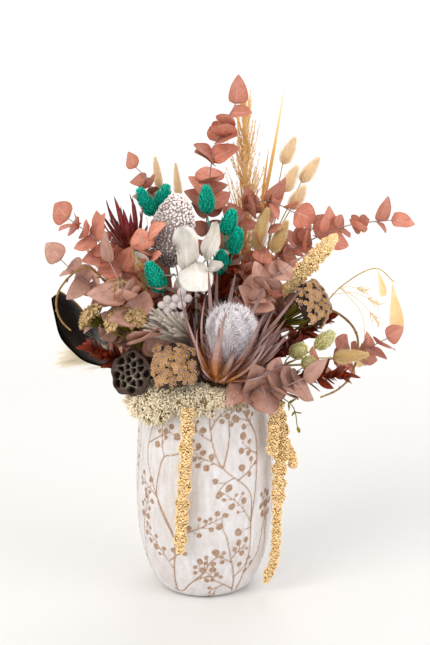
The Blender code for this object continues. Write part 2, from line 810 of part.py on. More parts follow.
def foam():
    """The block fills the vase to just under its mouth, with a plain hole for each stem."""
    levels = [FLOOR + 7 * MM, 70 * MM, 125 * MM, FOAM_TOP]
    sides = [(h, radius_at(INSIDE, h) - FOAM_GAP) for h in levels]
    block = turned([(levels[0], 0), *sides, (FOAM_TOP, 0)], VASE_SIDES // 2)
    holes = []
    for hole, radius, corners in stem_feet:
        foot = Vector((hole.x, hole.y, FOAM_TOP - STEM_DEPTH - HOLE_GAP))
        wide = radius + HOLE_GAP / math.cos(math.pi / corners)
        holes.append(tube([foot, foot + UP * (STEM_DEPTH + 5 * MM)], [wide, wide], corners))
    return node("dry_foam", [block], "foam", holes)


def rim_keep_out():
    """What moss is shaped to: the vase filled to the foam's top, a little larger all round."""
    outer = [(h, r + 0.4 * MM) for h, r in OUTSIDE[1:-1]]
    top = VASE_HEIGHT + 0.4 * MM
    mouth = [(top, OUTSIDE[-1][1] + 0.4 * MM), (top, INSIDE[0][1] - 0.4 * MM),
             (FOAM_TOP + 0.4 * MM, radius_at(INSIDE, FOAM_TOP) - 0.4 * MM), (FOAM_TOP + 0.4 * MM, 0)]
    return turned([(-5 * MM, 0), (-5 * MM, FOOT_RADIUS), *outer, *mouth], VASE_SIDES)


def is_near(body, centre, reach):
    return any((vert.co - centre).length < reach for vert in body.data.vertices)


def swollen_node(body, gap):
    """A copy of a node's surface moved out by the gap, to cut a neighbour with."""
    bm = bmesh.new()
    bm.from_mesh(body.data)
    swell(bm, gap)
    return bm


# The arrangement: each plant by the points of its stem and head, in millimetres

def mm_points(*points):
    return [mm(*p) for p in points]


def large_heads():
    banksia("banksia", mm(-43, -14, 388), mm(-30, 0, 467))
    lotus_pod("lotus_pod", mm(-83, -68, 277), Vector((-0.42, -0.86, 0.28)))
    yarrow("yarrow_front", mm(-34, -95, 297), Vector((-0.08, -0.80, 0.58)), 57 * MM, [], 5)
    yarrow("yarrow_right", mm(132, -28, 353), Vector((0.74, -0.44, 0.42)), 56 * MM, [], 6)
    buds = [(mm(-25, -66, 363), 5, 5.0 * MM), (mm(-41, -64, 355), 5, 4.8 * MM),
            (mm(-31, -64, 343), 3, 4.8 * MM), (mm(-54, -60, 344), 3, 4.0 * MM)]
    brunia("brunia", mm(-14, -46, 304), buds, 3)
    bleached_leaves("bleached_leaves", mm(-10, -28, 384), [
        (mm(-20, -36, 390), mm(-25, -50, 441), Vector((-0.2, -1, 0.1)), 36),
        (mm(0, -34, 398), mm(15, -42, 446), Vector((-0.3, -1, 0.2)), 27),
        (mm(-10, -46, 401), mm(-2, -68, 370), Vector((0, -1, 0.5)), 42),
    ])


def open_protea():
    protea("grey_protea", mm(16, -58, 264), Vector((0.16, -0.28, 0.74)))


def seed_heads_in_front():
    scaly = dict(material="teal", widest=8.2 * MM, at=0.42, sides=6, rings=5, stud=1.9 * MM,
                 lean=2.6 * MM, thick=1.8 * MM)
    large = {**scaly, "widest": 9.8 * MM}
    seed_heads("teal_canary_grass_low", [(mm(-48, -44, 366), mm(-62, -50, 400))], **large)
    seed_heads("teal_canary_grass_left", [
        (mm(-60, 22, 444), mm(-76, 18, 475)), (mm(-54, 30, 449), mm(-44, 30, 478))],
        joint=mm(-52, 24, 415), **scaly)
    seed_heads("teal_canary_grass_right", [
        (mm(3, 3, 449), mm(2, 0, 480)), (mm(23, -8, 426), mm(33, -12, 454)),
        (mm(32, -12, 404), mm(39, -16, 434)), (mm(17, -12, 380), mm(20, -16, 408))],
        joint=mm(20, -10, 348), **scaly)
    green = {**scaly, "material": "green_seed", "widest": 8.6 * MM, "at": 0.5}
    seed_heads("green_canary_grass", [
        (mm(99, -42, 293), mm(114, -56, 304)), (mm(127, -40, 300), mm(147, -44, 319)),
        (mm(112, -60, 286), mm(122, -72, 290))], joint=mm(92, -34, 278), **green)
    furry = dict(material="cream_fluff", widest=8.0 * MM, at=0.4, sides=6, rings=5, stud=1.6 * MM,
                 lean=3.2 * MM, thick=1.6 * MM)
    seed_heads("bunny_tails_middle", [
        (mm(58, -2, 407), mm(72, -8, 455)), (mm(78, -6, 405), mm(94, -12, 441))],
        joint=mm(58, 2, 370), **furry)
    seed_heads("bunny_tail_low_right", [(mm(148, -38, 288), mm(186, -36, 291))], **furry)
    seed_heads("cream_spear_left", [(mm(-94, -4, 358), mm(-136, 2, 407))], **furry)
    seed_heads("tan_spear_left", [(mm(-67, -30, 368), mm(-81, -24, 418))], **furry)
    seed_heads("bunny_tails_right", [
        (mm(92, 55, 501), mm(106, 55, 531)), (mm(93, 40, 470), mm(108, 40, 499)),
        (mm(114, 50, 480), mm(134, 50, 508)), (mm(101, 34, 450), mm(117, 34, 476))],
        joint=mm(74, 38, 400), **furry)
    slim = {**furry, "widest": 5.6 * MM}
    seed_heads("bunny_tails_left", [
        (mm(-54, 66, 470), mm(-60, 72, 508)), (mm(-30, 60, 446), mm(-35, 62, 502))],
        joint=mm(-40, 56, 400), **slim)


def hanging_and_bowed():
    flower_fans("tan_flower_fans", mm(-72, -36, 298), [
        (mm(-94, -40, 348), mm(-108, -45, 376), 14), (mm(-114, -34, 322), mm(-136, -38, 342), 14),
        (mm(-86, -52, 322), mm(-100, -62, 344), 15)],
        "tan_flower")
    black_spathe("black_spathe", mm(-98, -10, 272), mm(-174, 18, 352), Vector((0.45, -0.75, 0.45)), 52)
    amaranth("amaranth_front", [
        (mm_points((-18, -93, 244), (-20, -93, 200), (-24, -93, 140), (-28, -93, 74)), 7.6, 24)])
    amaranth("amaranth_right", [
        (mm_points((82, -50, 240), (90, -48, 195), (86, -47, 150), (85, -46, 112)), 8.4, 13),
        (mm_points((85, -46, 122), (84, -44, 80), (82, -42, 45), (72, -40, 15)), 5.6, 11),
        (mm_points((82, -50, 236), (79, -58, 205), (78, -59, 178)), 7.0, 6),
        (mm_points((89, -47, 190), (100, -44, 176), (103, -44, 158)), 5.4, 4)])
    pieces_path = mm_points((90, 2, 350), (112, 3, 380), (133, 2, 402), (152, 2, 424))
    stem, _ = rooted_stem("millet", [pieces_path[0] + (pieces_path[1] - pieces_path[0]) * 0.16], 3 * MM)
    spike_head = studded(smooth_path(pieces_path, 4), ovoid(9 * MM, 0.55), 8, 14, 2.2 * MM, 1.2 * MM)
    node("millet", [stem, spike_head], "gold_bead")
    red_protea("red_protea", mm(-84, 12, 402), Vector((-0.2, 0.04, 0.95)))


def front_sprays():
    leafy_spray("eucalyptus_mauve", mm_points((-60, -60, 306), (-80, -66, 352), (-106, -58, 404)),
                "mauve_leaf", 9, 48, 1, 0.36)
    leafy_spray("eucalyptus_front", mm_points((48, -76, 264), (74, -96, 264), (112, -84, 276)),
                "mauve_leaf", 8, 46, 2, 0.40)
    leafy_spray("eucalyptus_left", mm_points((-86, -6, 370), (-118, -16, 416), (-158, -8, 446)),
                "eucalyptus", 12, 40, 4, 0.40)
    leafy_spray("eucalyptus_centre", mm_points((46, -42, 340), (70, -48, 376), (98, -44, 398)),
                "mauve_leaf", 10, 40, 9, 0.40)
    leafy_spray("eucalyptus_top", mm_points((2, 26, 430), (11, 22, 521), (38, 14, 577)),
                "eucalyptus", 10, 40, 3, 0.62)
    leafy_spray("eucalyptus_long_right", mm_points((64, 22, 378), (100, 24, 402), (162, 20, 431), (222, 20, 439)),
                "eucalyptus", 12, 36, 5, 0.46)
    leafy_spray("eucalyptus_upper_right", mm_points((34, 12, 424), (66, 12, 462), (108, 16, 446)),
                "eucalyptus", 9, 40, 6, 0.60)
    leafy_spray("eucalyptus_low_left", mm_points((-104, 4, 350), (-140, -4, 372), (-168, -4, 398)),
                "mauve_leaf", 7, 38, 7, 0.56)
    leafy_spray("eucalyptus_low_right", mm_points((120, -4, 272), (178, 10, 282), (218, 14, 300)),
                "eucalyptus", 6, 38, 8, 0.66)
    leafy_spray("eucalyptus_small", mm_points((-56, 44, 448), (-66, 48, 480), (-84, 50, 500)),
                "eucalyptus", 5, 32, 10, 0.80)


def dark_filling():
    dark = dict(shape=LEAF_POINTED, narrow=0.36, thick=2.0 * MM, lean=0.8)
    leafy_spray("red_leaves_left", mm_points((-90, -36, 280), (-126, -48, 302)), "red_leaf", 9, 32, 21, 0.5, **dark)
    leafy_spray("red_leaves_right", mm_points((112, -30, 262), (158, -34, 266)), "red_leaf", 10, 32, 22, 0.42, **dark)
    leafy_spray("red_leaves_far_right", mm_points((94, 10, 292), (140, 8, 322)), "red_leaf", 10, 32, 23, 0.42, **dark)
    leafy_spray("red_leaves_centre", mm_points((10, -16, 330), (26, -10, 384)), "red_leaf", 10, 44, 24, 0.30, **dark)


def twigs_and_grasses():
    bare_twig("willow_right", mm_points((112, -6, 318), (140, -4, 338), (172, -6, 318), (178, -14, 288),
                                        (162, -34, 256), (126, -60, 244)), 3.6 * MM, 2.2 * MM)
    bare_twig("willow_left", mm_points((-108, -20, 366), (-136, -22, 390), (-166, -22, 364), (-168, -22, 334),
                                       (-150, -28, 314)), 3.2 * MM, 2.0 * MM)
    plume("reed_plume", mm_points((44, 30, 380), (48, 42, 470), (46, 50, 562)), "straw", 26, 70, 0.40, 31)
    plume("pampas_left", mm_points((-70, 24, 268), (-112, 28, 276), (-152, 32, 270)), "cream_fluff", 16, 62, 0.26, 32)
    papery_branch("papery_branch", mm_points((124, 18, 318), (160, 26, 358), (200, 30, 380), (224, 28, 364)),
                  [(0.985, Vector((0.12, -0.02, -1)), 50, 22), (0.86, Vector((-0.3, 0, -1)), 30, 16)])
    grass_blades()


def low_sprig():
    leafy_spray("green_sprig", mm_points((62, -56, 256), (98, -64, 240), (106, -66, 212)), "green_leaf",
                5, 13, 33, 0.75, shape=LEAF_POINTED, narrow=0.5, thick=1.6 * MM)


def grass_blades():
    """Two long dry blades that stand above everything else."""
    stem, path = rooted_stem("grass_blades", [mm(66, 62, 440)], 2.2 * MM)
    foot = path[-1] - UP * 3 * MM
    pieces = [stem]
    for tip, wide, bow in ((mm(94, 74, 590), 5, 0.03), (mm(76, 66, 520), 4, -0.03)):
        pieces.append(blade(foot, tip - foot, Vector((0.2, -1, 0)), (tip - foot).length, wide * MM, 1.3 * MM,
                            LEAF_CURLED, bow, 0.2))
    node("grass_blades", pieces, "straw")


def behind():
    """The side that the front view does not show, filled with the same plants."""
    leafy_spray("eucalyptus_back_left", mm_points((-60, 62, 330), (-98, 84, 376), (-128, 92, 418)),
                "eucalyptus", 9, 38, 41, 0.45)
    leafy_spray("eucalyptus_back_right", mm_points((66, 66, 336), (104, 88, 382), (136, 98, 424)),
                "eucalyptus", 9, 38, 42, 0.45)
    leafy_spray("eucalyptus_back_low", mm_points((-6, 84, 282), (-10, 122, 300), (-22, 150, 330)),
                "mauve_leaf", 8, 40, 43, 0.45)
    leafy_spray("red_leaves_back", mm_points((40, 76, 300), (62, 104, 332)), "red_leaf", 8, 32, 45, 0.40,
                shape=LEAF_POINTED, narrow=0.34, thick=2.0 * MM, lean=0.8)
    plume("pampas_back", mm_points((20, 62, 340), (34, 92, 400), (50, 112, 452)), "cream_fluff", 16, 60, 0.36, 46)
    yarrow("yarrow_back", mm(-58, 92, 296), Vector((-0.45, 0.75, 0.5)), 54 * MM, [], 47)


def laid_moss(name, centre, size, material, seed):
    """A clump over the rim, cut to fit round whatever already crosses its place."""
    neighbours = [o for o in bpy.context.scene.objects if o.name != "vase"]
    cuts = [rim_keep_out(), *(swollen_node(o, CLEAR) for o in neighbours if is_near(o, mm(*centre), 75 * MM))]
    moss_clump(name, mm(*centre), mm(*size), material, seed, cuts)


def mosses():
    laid_moss("moss_left", (-58, -54, 240), (62, 40, 44), "moss", 51)
    laid_moss("moss_front", (-12, -72, 248), (52, 32, 34), "moss", 52)
    laid_moss("moss_back", (14, 70, 246), (104, 34, 34), "moss", 54)


def main():
    for leftover in list(bpy.data.objects):
        bpy.data.objects.remove(leftover)
    vase()
    large_heads()
    seed_heads_in_front()
    open_protea()
    hanging_and_bowed()
    laid_moss("moss_right", (36, -63, 250), (44, 16, 18), "grey_moss", 53)
    twigs_and_grasses()
    front_sprays()
    dark_filling()
    low_sprig()
    behind()
    mosses()
    foam()


main()
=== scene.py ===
# Dried flower arrangement in a ceramic vase: the finer pieces and finishes round the CAD frame.
import math
import random
from functools import partial

import bmesh
import bpy
from mathutils import Matrix, Vector, noise
from mathutils.bvhtree import BVHTree
from mathutils.kdtree import KDTree


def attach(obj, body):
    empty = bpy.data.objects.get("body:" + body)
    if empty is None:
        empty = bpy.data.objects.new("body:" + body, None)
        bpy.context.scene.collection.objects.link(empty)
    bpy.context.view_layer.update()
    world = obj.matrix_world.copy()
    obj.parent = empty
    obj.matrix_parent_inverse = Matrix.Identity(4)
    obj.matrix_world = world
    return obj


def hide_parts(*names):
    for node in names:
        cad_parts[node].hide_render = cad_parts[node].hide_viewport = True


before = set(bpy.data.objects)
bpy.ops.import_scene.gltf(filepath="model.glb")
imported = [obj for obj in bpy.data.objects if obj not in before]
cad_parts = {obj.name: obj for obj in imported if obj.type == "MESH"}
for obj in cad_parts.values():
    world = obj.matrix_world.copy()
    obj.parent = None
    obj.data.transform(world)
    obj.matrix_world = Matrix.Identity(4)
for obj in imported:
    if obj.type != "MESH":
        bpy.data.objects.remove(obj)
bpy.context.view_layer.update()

mm = 0.001
up = Vector((0, 0, 1))
fullTurn = 2 * math.pi
goldenTurn = math.pi * (3 - math.sqrt(5))
vertexMarks = ("along", "across", "tone")

# What every stem shares with the CAD frame: heights of its foot and of its hole's mouth, how deep in mm it
# stands below the mouth, and the bends that it may take up to its first point, in rings of eight
stemFoot = 214 * mm
holeMouth = 233 * mm
stemBends = {"deep": 19, "rings": 7, "turns": 8, "step": 6, "lift": 0.4, "arch": 0.16}


def spot(point):
    return Vector(point) * mm


def spots(points):
    return [spot(point) for point in points]


def clamp(value):
    return min(1, max(0, value))


def paint(hexText):
    # sRGB hex to the linear colour that nodes take
    parts = [int(hexText[i:i + 2], 16) / 255 for i in (1, 3, 5)]
    return (*(p / 12.92 if p <= 0.04045 else ((p + 0.055) / 1.055) ** 2.4 for p in parts), 1)


def setSockets(material, node, inputs):
    # inputs go by name or by place; a socket among them is linked, and anything else is set
    for key, value in inputs.items() if isinstance(inputs, dict) else enumerate(inputs):
        if isinstance(value, bpy.types.NodeSocket):
            material.node_tree.links.new(value, node.inputs[key])
        else:
            node.inputs[key].default_value = value


def addNode(material, kind, inputs=(), output=0, **settings):
    node = material.node_tree.nodes.new("ShaderNode" + kind)
    stops = settings.pop("stops", ())
    for _ in stops[2:]:
        node.color_ramp.elements.new(0.5)
    for i, (position, colour) in enumerate(stops):
        node.color_ramp.elements[i].position = position
        node.color_ramp.elements[i].color = paint(colour)
    for name, value in settings.items():
        setattr(node, name, value)
    setSockets(material, node, inputs)
    return node.outputs[output]


def newMaterial(name):
    material = bpy.data.materials.new(name)
    material.use_nodes = True
    return material, material.node_tree.nodes["Principled BSDF"], partial(addNode, material)


def asMesh(bm, name):
    mesh = bpy.data.meshes.new(name)
    bm.to_mesh(mesh)
    bm.free()
    mesh.shade_smooth()
    return mesh


def addToScene(name, data):
    thing = bpy.data.objects.new(name, data)
    bpy.context.scene.collection.objects.link(thing)
    return thing


# Camera, floor and light

cameraSet = {"target": (12, 0, 321), "distance": 1500, "elevation": 12, "lens": 71.7}
studio = {"glowFrom": 1.0, "glowFull": 4.6, "glow": 0.36, "flat": 0.45, "reach": 9.0, "rise": 3.2,
          "floorColour": "#EDECEA", "skyPower": 0.74,
          "lamps": (
              # place in metres, size, watts, colour
              ((-2.2, -2.4, 2.6), 2.4, 70, "#FFF9F2"),
              ((2.6, -1.6, 1.6), 2.2, 30, "#F6F8FF"),
              ((0.6, 2.2, 2.6), 2.0, 22, "#FFFFFF"),
          )}


def makeCamera():
    tilt = math.radians(cameraSet["elevation"])
    back = Vector((0, -math.cos(tilt), math.sin(tilt)))
    camera = addToScene("camera", bpy.data.cameras.new("camera"))
    camera.data.lens = cameraSet["lens"]
    camera.location = spot(cameraSet["target"]) + back * cameraSet["distance"] * mm
    camera.rotation_euler = (-back).to_track_quat("-Z", "Y").to_euler()
    bpy.context.scene.camera = camera


def makeStudio():
    # a pale floor that rises like a dish far away, so that no horizon shows from any side
    bm = bmesh.new()
    flat, reach = studio["flat"], studio["reach"]
    bmesh.ops.create_circle(bm, cap_ends=True, segments=96, radius=reach * flat)
    for share in (0.6, 0.75, 0.9, 1.0):
        rim = [edge for edge in bm.edges if edge.is_boundary]
        for part in bmesh.ops.extrude_edge_only(bm, edges=rim)["geom"]:
            if isinstance(part, bmesh.types.BMVert):
                part.co.xy = part.co.xy.normalized() * reach * share
                part.co.z = studio["rise"] * ((share - flat) / (1 - flat)) ** 2.2
    bmesh.ops.recalc_face_normals(bm, faces=bm.faces)
    floor = addToScene("studio_floor", asMesh(bm, "studio_floor"))
    material, shader, add = newMaterial("matt paper backdrop")
    # far paper gets less light, so it gives off a little of its own and the backdrop stays even
    far = add("VectorMath", (add("TexCoord", output="Object"),), "Value", operation="LENGTH")
    glow = add("MapRange", (far, studio["glowFrom"], studio["glowFull"], 0, studio["glow"]))
    setSockets(material, shader, {"Base Color": paint(studio["floorColour"]), "Roughness": 0.95,
                                  "Specular IOR Level": 0.1, "Emission Color": (1, 1, 1, 1),
                                  "Emission Strength": glow})
    floor.data.materials.append(material)

    world = bpy.data.worlds.new("studio")
    world.use_nodes = True
    sky = world.node_tree.nodes["Background"]
    sky.inputs["Color"].default_value = (1, 1, 1, 1)
    sky.inputs["Strength"].default_value = studio["skyPower"]
    bpy.context.scene.world = world
    for place, size, watts, colour in studio["lamps"]:
        box = addToScene("soft box", bpy.data.lights.new("soft box", "AREA"))
        box.data.size = size
        box.data.energy = watts
        box.data.color = paint(colour)[:3]
        box.location = place
        box.rotation_euler = (Vector(place) - spot(cameraSet["target"])).to_track_quat("Z", "Y").to_euler()


bpy.context.scene.view_settings.view_transform = "Standard"
makeCamera()
makeStudio()
print("camera, floor and lights")


# Finishes

def grown(name, stops, stain=None, tones=0.30, grain=0.5, lift=0.15, roughness=0.8, sheen=0.0, veins=None,
          see=0.0, gloss=0.3):
    # Colour runs from root to tip by the "along" mark and differs between copies by "tone".
    # stain is (hex, patch size in mm, strength); grain and lift are the surface's relief in mm;
    # veins are (slant, count, strength, their hex, hex of the leaf's edge).
    material, shader, add = newMaterial(name)
    place = add("TexCoord", output="Object")
    along, across, tone = (add("Attribute", output="Fac", attribute_name=mark) for mark in vertexMarks)
    colour = add("ValToRGB", (along,), stops=stops)
    if stain:
        stained, patch, strength = stain
        patches = add("TexNoise", {"Vector": place, "Scale": 1 / (patch * mm), "Detail": 4, "Roughness": 0.6})
        share = add("MapRange", (patches, 0.42, 0.68, 0, strength))
        colour = add("MixRGB", (share, colour, paint(stained)))
    height = add("TexNoise", {"Vector": place, "Scale": 1 / (grain * mm), "Detail": 3, "Roughness": 0.6})
    if veins:
        # side veins leave the midrib at a slant; the midrib and they are lighter and stand a little proud
        slant, count, strength, vein, rim = veins
        spread = add("Math", (across,), operation="ABSOLUTE")
        wave = add("Math", (spread, -slant, along), operation="MULTIPLY_ADD")
        wave = add("Math", (wave, count * 6.28), operation="MULTIPLY")
        line = add("MapRange", (add("Math", (wave,), operation="SINE"), 0.80, 1, 0, 0.8))
        rib = add("MapRange", (spread, 0.10, 0.02, 0, 1))
        line = add("Math", (line, rib), operation="MAXIMUM")
        share = add("Math", (line, strength), operation="MULTIPLY")
        colour = add("MixRGB", (share, colour, paint(vein)))
        colour = add("MixRGB", (add("MapRange", (spread, 0.80, 1, 0, 0.55)), colour, paint(rim)))
        height = add("Math", (line, 0.9, height), operation="MULTIPLY_ADD")
    shade = add("MapRange", (tone, 0, 1, 1.1 - tones, 1.1 + tones))
    sockets = {"Base Color": add("HueSaturation", {"Saturation": 1.16, "Value": shade, "Color": colour}),
               "Normal": add("Bump", {"Height": height, "Strength": 1, "Distance": lift * mm}),
               "Roughness": roughness, "Specular IOR Level": gloss, "Sheen Weight": sheen,
               "Sheen Roughness": 0.5}
    if see:
        sockets |= {"Subsurface Weight": see, "Subsurface Radius": (1.0, 0.7, 0.5),
                    "Subsurface Scale": 2 * mm}
    setSockets(material, shader, sockets)
    return material


def slipFinish():
    # matt white slip, brushed on thin over brown clay: the clay shows in every cut and through the strokes
    material, shader, add = newMaterial("brushed white slip over clay")
    place = add("TexCoord", output="Object")
    strokes = add("Mapping", {"Vector": place, "Scale": (150, 150, 34)})
    strokes = add("TexNoise", {"Vector": strokes, "Scale": 1, "Detail": 5, "Roughness": 0.65})
    patches = add("TexNoise", {"Vector": place, "Scale": 34, "Detail": 5, "Roughness": 0.6})
    speckle = add("TexNoise", {"Vector": place, "Scale": 620, "Detail": 3, "Roughness": 0.6})
    carved = add("Attribute", output="Fac", attribute_name="carve")
    ragged = add("Math", (speckle, 0.9, carved), operation="MULTIPLY_ADD")
    slip = add("ValToRGB", (strokes,), stops=(
        (0.28, "#C9C3C2"), (0.44, "#D7D3D2"), (0.60, "#E1DEDF"), (0.78, "#EAE9EB")))
    slip = add("MixRGB", (add("MapRange", (patches, 0.46, 0.72, 0, 0.55)), slip, paint("#CBBDB9")))
    slip = add("MixRGB", (add("MapRange", (ragged, -0.30, 0.28, 0, 0.35)), slip, paint("#BFA796")))
    clay = add("ValToRGB", (speckle,), stops=((0.35, "#8E6C54"), (0.5, "#A98A72"), (0.68, "#C2A994")))
    height = add("Math", (speckle, 0.35, strokes), operation="MULTIPLY_ADD")
    setSockets(material, shader, {
        "Base Color": add("MixRGB", (add("MapRange", (ragged, 0.28, 0.62, 0, 1)), slip, clay)),
        "Normal": add("Bump", {"Height": height, "Strength": 1, "Distance": 0.6 * mm}),
        "Roughness": 0.72, "Specular IOR Level": 0.3})
    return material


finishes = {
    "slipClay": slipFinish(),
    # glycerined eucalyptus: matt skin, a darker cut edge and fine veins that catch the light
    "salmonLeaf": grown(
        "preserved eucalyptus, salmon", ((0, "#935C4C"), (0.25, "#BE8676"), (1, "#D49F91")),
        ("#A96A58", 9, 0.6), 0.28, 1.2, 0.25, 0.62, veins=(0.30, 8, 0.30, "#E6BEB0", "#AA6148")),
    "mauveLeaf": grown(
        "preserved eucalyptus, mauve", ((0, "#7E5C50"), (0.3, "#B59183"), (1, "#CCA89C")),
        ("#845C50", 10, 0.5), 0.26, 1.2, 0.25, 0.66, veins=(0.30, 7, 0.25, "#D0AEA6", "#85564A")),
    # young eucalyptus wood: waxy bloom that reads grey-lilac
    "leafStem": grown("waxy eucalyptus stem", ((0, "#6A5248"), (0.6, "#8C7A7A"), (1, "#9A7F7A")),
                      ("#A49A9E", 5, 0.6), grain=0.8, lift=0.1, roughness=0.55),
    # dried conebush: brittle dark red leaves, a little glossy where they curl
    "redLeaf": grown("dried red foliage", ((0, "#42201A"), (0.55, "#7A3426"), (1, "#A65542")),
                     ("#2A0D09", 6, 0.7), 0.45, 1.0, 0.2, 0.5, veins=(0.5, 4, 0.25, "#A2503C", "#3A120C")),
    "redStem": grown("dark twig", ((0, "#3A2018"), (1, "#5B2A1E")), ("#22120D", 4, 0.6)),
    "greenLeaf": grown("dried green sprig", ((0, "#4E4A16"), (1, "#7C7A24")), ("#A08A3A", 4, 0.5), 0.35),
    # dyed canary grass: dusty, saturated glumes with paler tips
    "tealScale": grown("dyed canary grass", ((0, "#046C5C"), (0.45, "#06A088"), (1, "#2CD6BA")),
                       ("#048270", 3, 0.5), 0.32, 0.7),
    "tealStem": grown("dyed grass stalk", ((0, "#0A6B58"), (1, "#12A088")), grain=0.8),
    "greenScale": grown("natural canary grass", ((0, "#A09A62"), (0.5, "#D2CC96"), (1, "#F6F2D6")),
                        ("#BAB47A", 3, 0.4), 0.22, 0.7),
    "grassStem": grown("dry grass stalk", ((0, "#9A8A52"), (1, "#C9B47E")), ("#86743E", 4, 0.5), grain=0.8,
                       roughness=0.7),
    # hare's tail: fine seed hair that scatters light softly
    "creamHair": grown("hare's tail hair", ((0, "#D6B48C"), (0.4, "#F2DAB4"), (1, "#FFF6E4")),
                       ("#E6C49A", 4, 0.3), 0.12, roughness=0.95, sheen=0.5, see=0.2),
    "oliveHair": grown("hare's tail hair, olive", ((0, "#A28756"), (0.4, "#D0B280"), (1, "#F0DAAC")),
                       ("#B4965F", 4, 0.3), 0.16, roughness=0.95, sheen=0.5, see=0.15),
    "palePampas": grown("bleached pampas", ((0, "#E8DCC2"), (1, "#F8F0DF")), tones=0.05, roughness=0.9,
                        sheen=0.4, see=0.25),
    "goldReed": grown("reed plume", ((0, "#CFA671"), (0.5, "#E6C28F"), (1, "#EBD2A9")), tones=0.22,
                      roughness=0.85, see=0.15),
    # amaranth ropes: dry beads with shadowed gaps between them
    "goldBead": grown("dried amaranth", ((0, "#86683E"), (0.45, "#D8B580"), (1, "#FFEBC6")),
                      ("#C4A06C", 3, 0.4), 0.20, 0.6, 0.2, 0.9),
    "paleBead": grown("millet grain", ((0, "#C4A06C"), (0.5, "#E6CA98"), (1, "#F8E8C4")), ("#C9A266", 3, 0.4),
                      0.15, 0.6, 0.2, 0.85),
    # banksia styles are painted darker towards their feet, deep in the cone, as painted shade
    "banksiaFloret": grown("banksia florets", ((0, "#6E6066"), (0.40, "#B2A4A2"), (1, "#F6F0EC")),
                           ("#BCACA6", 6, 0.3), 0.42, 0.6, roughness=0.9),
    "darkCore": grown("shadowed core", ((0, "#33261F"), (1, "#4A382E")), ("#241A15", 3, 0.5)),
    # protea bracts: leathery, orange inside the base, grey-mauve outside, dark needle tips
    "greyBract": grown(
        "leathery protea bract",
        ((0, "#6A3416"), (0.22, "#B87434"), (0.42, "#9E6E54"), (0.72, "#AC9490"), (0.96, "#7A5650")),
        ("#B9A3A4", 7, 0.5), 0.25, 1.0, 0.2, 0.5, veins=(3, 1, 0.3, "#C6B2B2", "#6E4038")),
    "redBract": grown(
        "leathery red bract", ((0, "#8E7048"), (0.35, "#7A3A38"), (0.75, "#6E2030"), (1, "#3A1418")),
        ("#A4625C", 5, 0.5), 0.35, 1.0, roughness=0.5, veins=(3, 1, 0.4, "#B98478", "#4A141C")),
    "proteaHair": grown("combed protea hair", ((0, "#887C7E"), (0.35, "#D6CED2"), (1, "#FFFFFF")), tones=0.24,
                        roughness=0.9, sheen=0.5),
    # brunia: silver felt, finely pitted
    "silverBud": grown("silver brunia felt", ((0, "#968C8A"), (1, "#C4BBBA")), ("#ACA2A1", 1.6, 0.6),
                       0.12, 0.9, 0.25, 0.9, 0.4),
    "silverTwig": grown("silver brunia twig", ((0, "#6A6056"), (0.5, "#A0968A"), (1, "#CAC2B8")),
                        ("#8E8478", 2, 0.6), 0.2, 0.8, 0.25, 0.9),
    # yarrow: dusty florets round yellow middles; the undersides of the cups are painted darker, as painted
    # shade
    "yarrowFloret": grown(
        "dried yarrow", ((0, "#75653E"), (0.36, "#7E6A58"), (0.56, "#BEA698"), (0.66, "#AA9080"),
                         (0.82, "#967340"), (1, "#E0B05A")), ("#A98260", 3, 0.5), 0.28, 0.6, 0.2, 0.9),
    "oliveStalk": grown("olive stalk", ((0, "#4C4420"), (1, "#7C7434")), ("#3A3218", 3, 0.6), grain=0.8),
    "tanFloret": grown("papery sea lavender", ((0, "#766C48"), (0.35, "#A48E68"), (1, "#D2BA98")),
                       ("#A88A6C", 4, 0.5), 0.25, 0.6, roughness=0.85),
    "podSkin": grown(
        "dried lotus pod", ((0, "#3E322A"), (0.40, "#473A32"), (0.55, "#8E8478"), (1, "#82786E")),
        ("#2A201C", 5, 0.7), 0.1, 1.4, 0.5, 0.75),
    "podPit": grown("shadowed seed pit", ((0, "#170D0C"), (1, "#2A1B18")), grain=1.0, roughness=0.9),
    # palm spathe: varnished black outside, raw wood along its edge
    "spatheSkin": grown("lacquered palm spathe", ((0, "#0A0A0B"), (1, "#161616")), ("#2C2B29", 12, 0.4),
                        0.1, 4.0, 0.5, 0.32, gloss=0.5),
    "spatheRim": grown("raw palm rim", ((0, "#8C6C44"), (1, "#B08E5E")), ("#5E4426", 4, 0.5)),
    "bleachedSkin": grown(
        "bleached leaf", ((0, "#B9B2A4"), (0.3, "#DFDBD5"), (1, "#EAE6E1")), ("#C9C2B8", 9, 0.6),
        0.06, 1.6, 0.4, 0.7, see=0.1, veins=(0.6, 9, 0.25, "#FFFFFF", "#D8D0C4")),
    "paperSkin": grown("translucent paper pod", ((0, "#E6CA9A"), (1, "#EDD5AC")), ("#F4E2C4", 6, 0.6),
                       0.06, 1.0, roughness=0.5, see=0.15),
    "willowBark": grown("willow bark", ((0, "#6B5238"), (0.5, "#8A6C48"), (1, "#A4885E")),
                        ("#4A3522", 4, 0.7), grain=1.2, lift=0.3, roughness=0.6),
    "mossLace": grown("reindeer moss", ((0, "#8E7A58"), (0.25, "#D8C8A6"), (1, "#FFF6E4")),
                      ("#CDBA98", 6, 0.3), 0.20, 0.6, roughness=0.95, see=0.1),
    "greyLace": grown("grey beard moss", ((0, "#66563F"), (0.4, "#B0A087"), (1, "#D8CAB2")),
                      ("#8E7E68", 5, 0.4), 0.25, 0.6, roughness=0.95),
    "dryFoam": grown("dry floral foam", ((0, "#4A4034"), (1, "#4A4034")), ("#2E261E", 3, 0.8),
                     0, 0.8, 0.6, 1.0, gloss=0.1),
}
print("finishes", len(finishes))


# Curves through points, as the CAD frame draws its stems, and directions along them

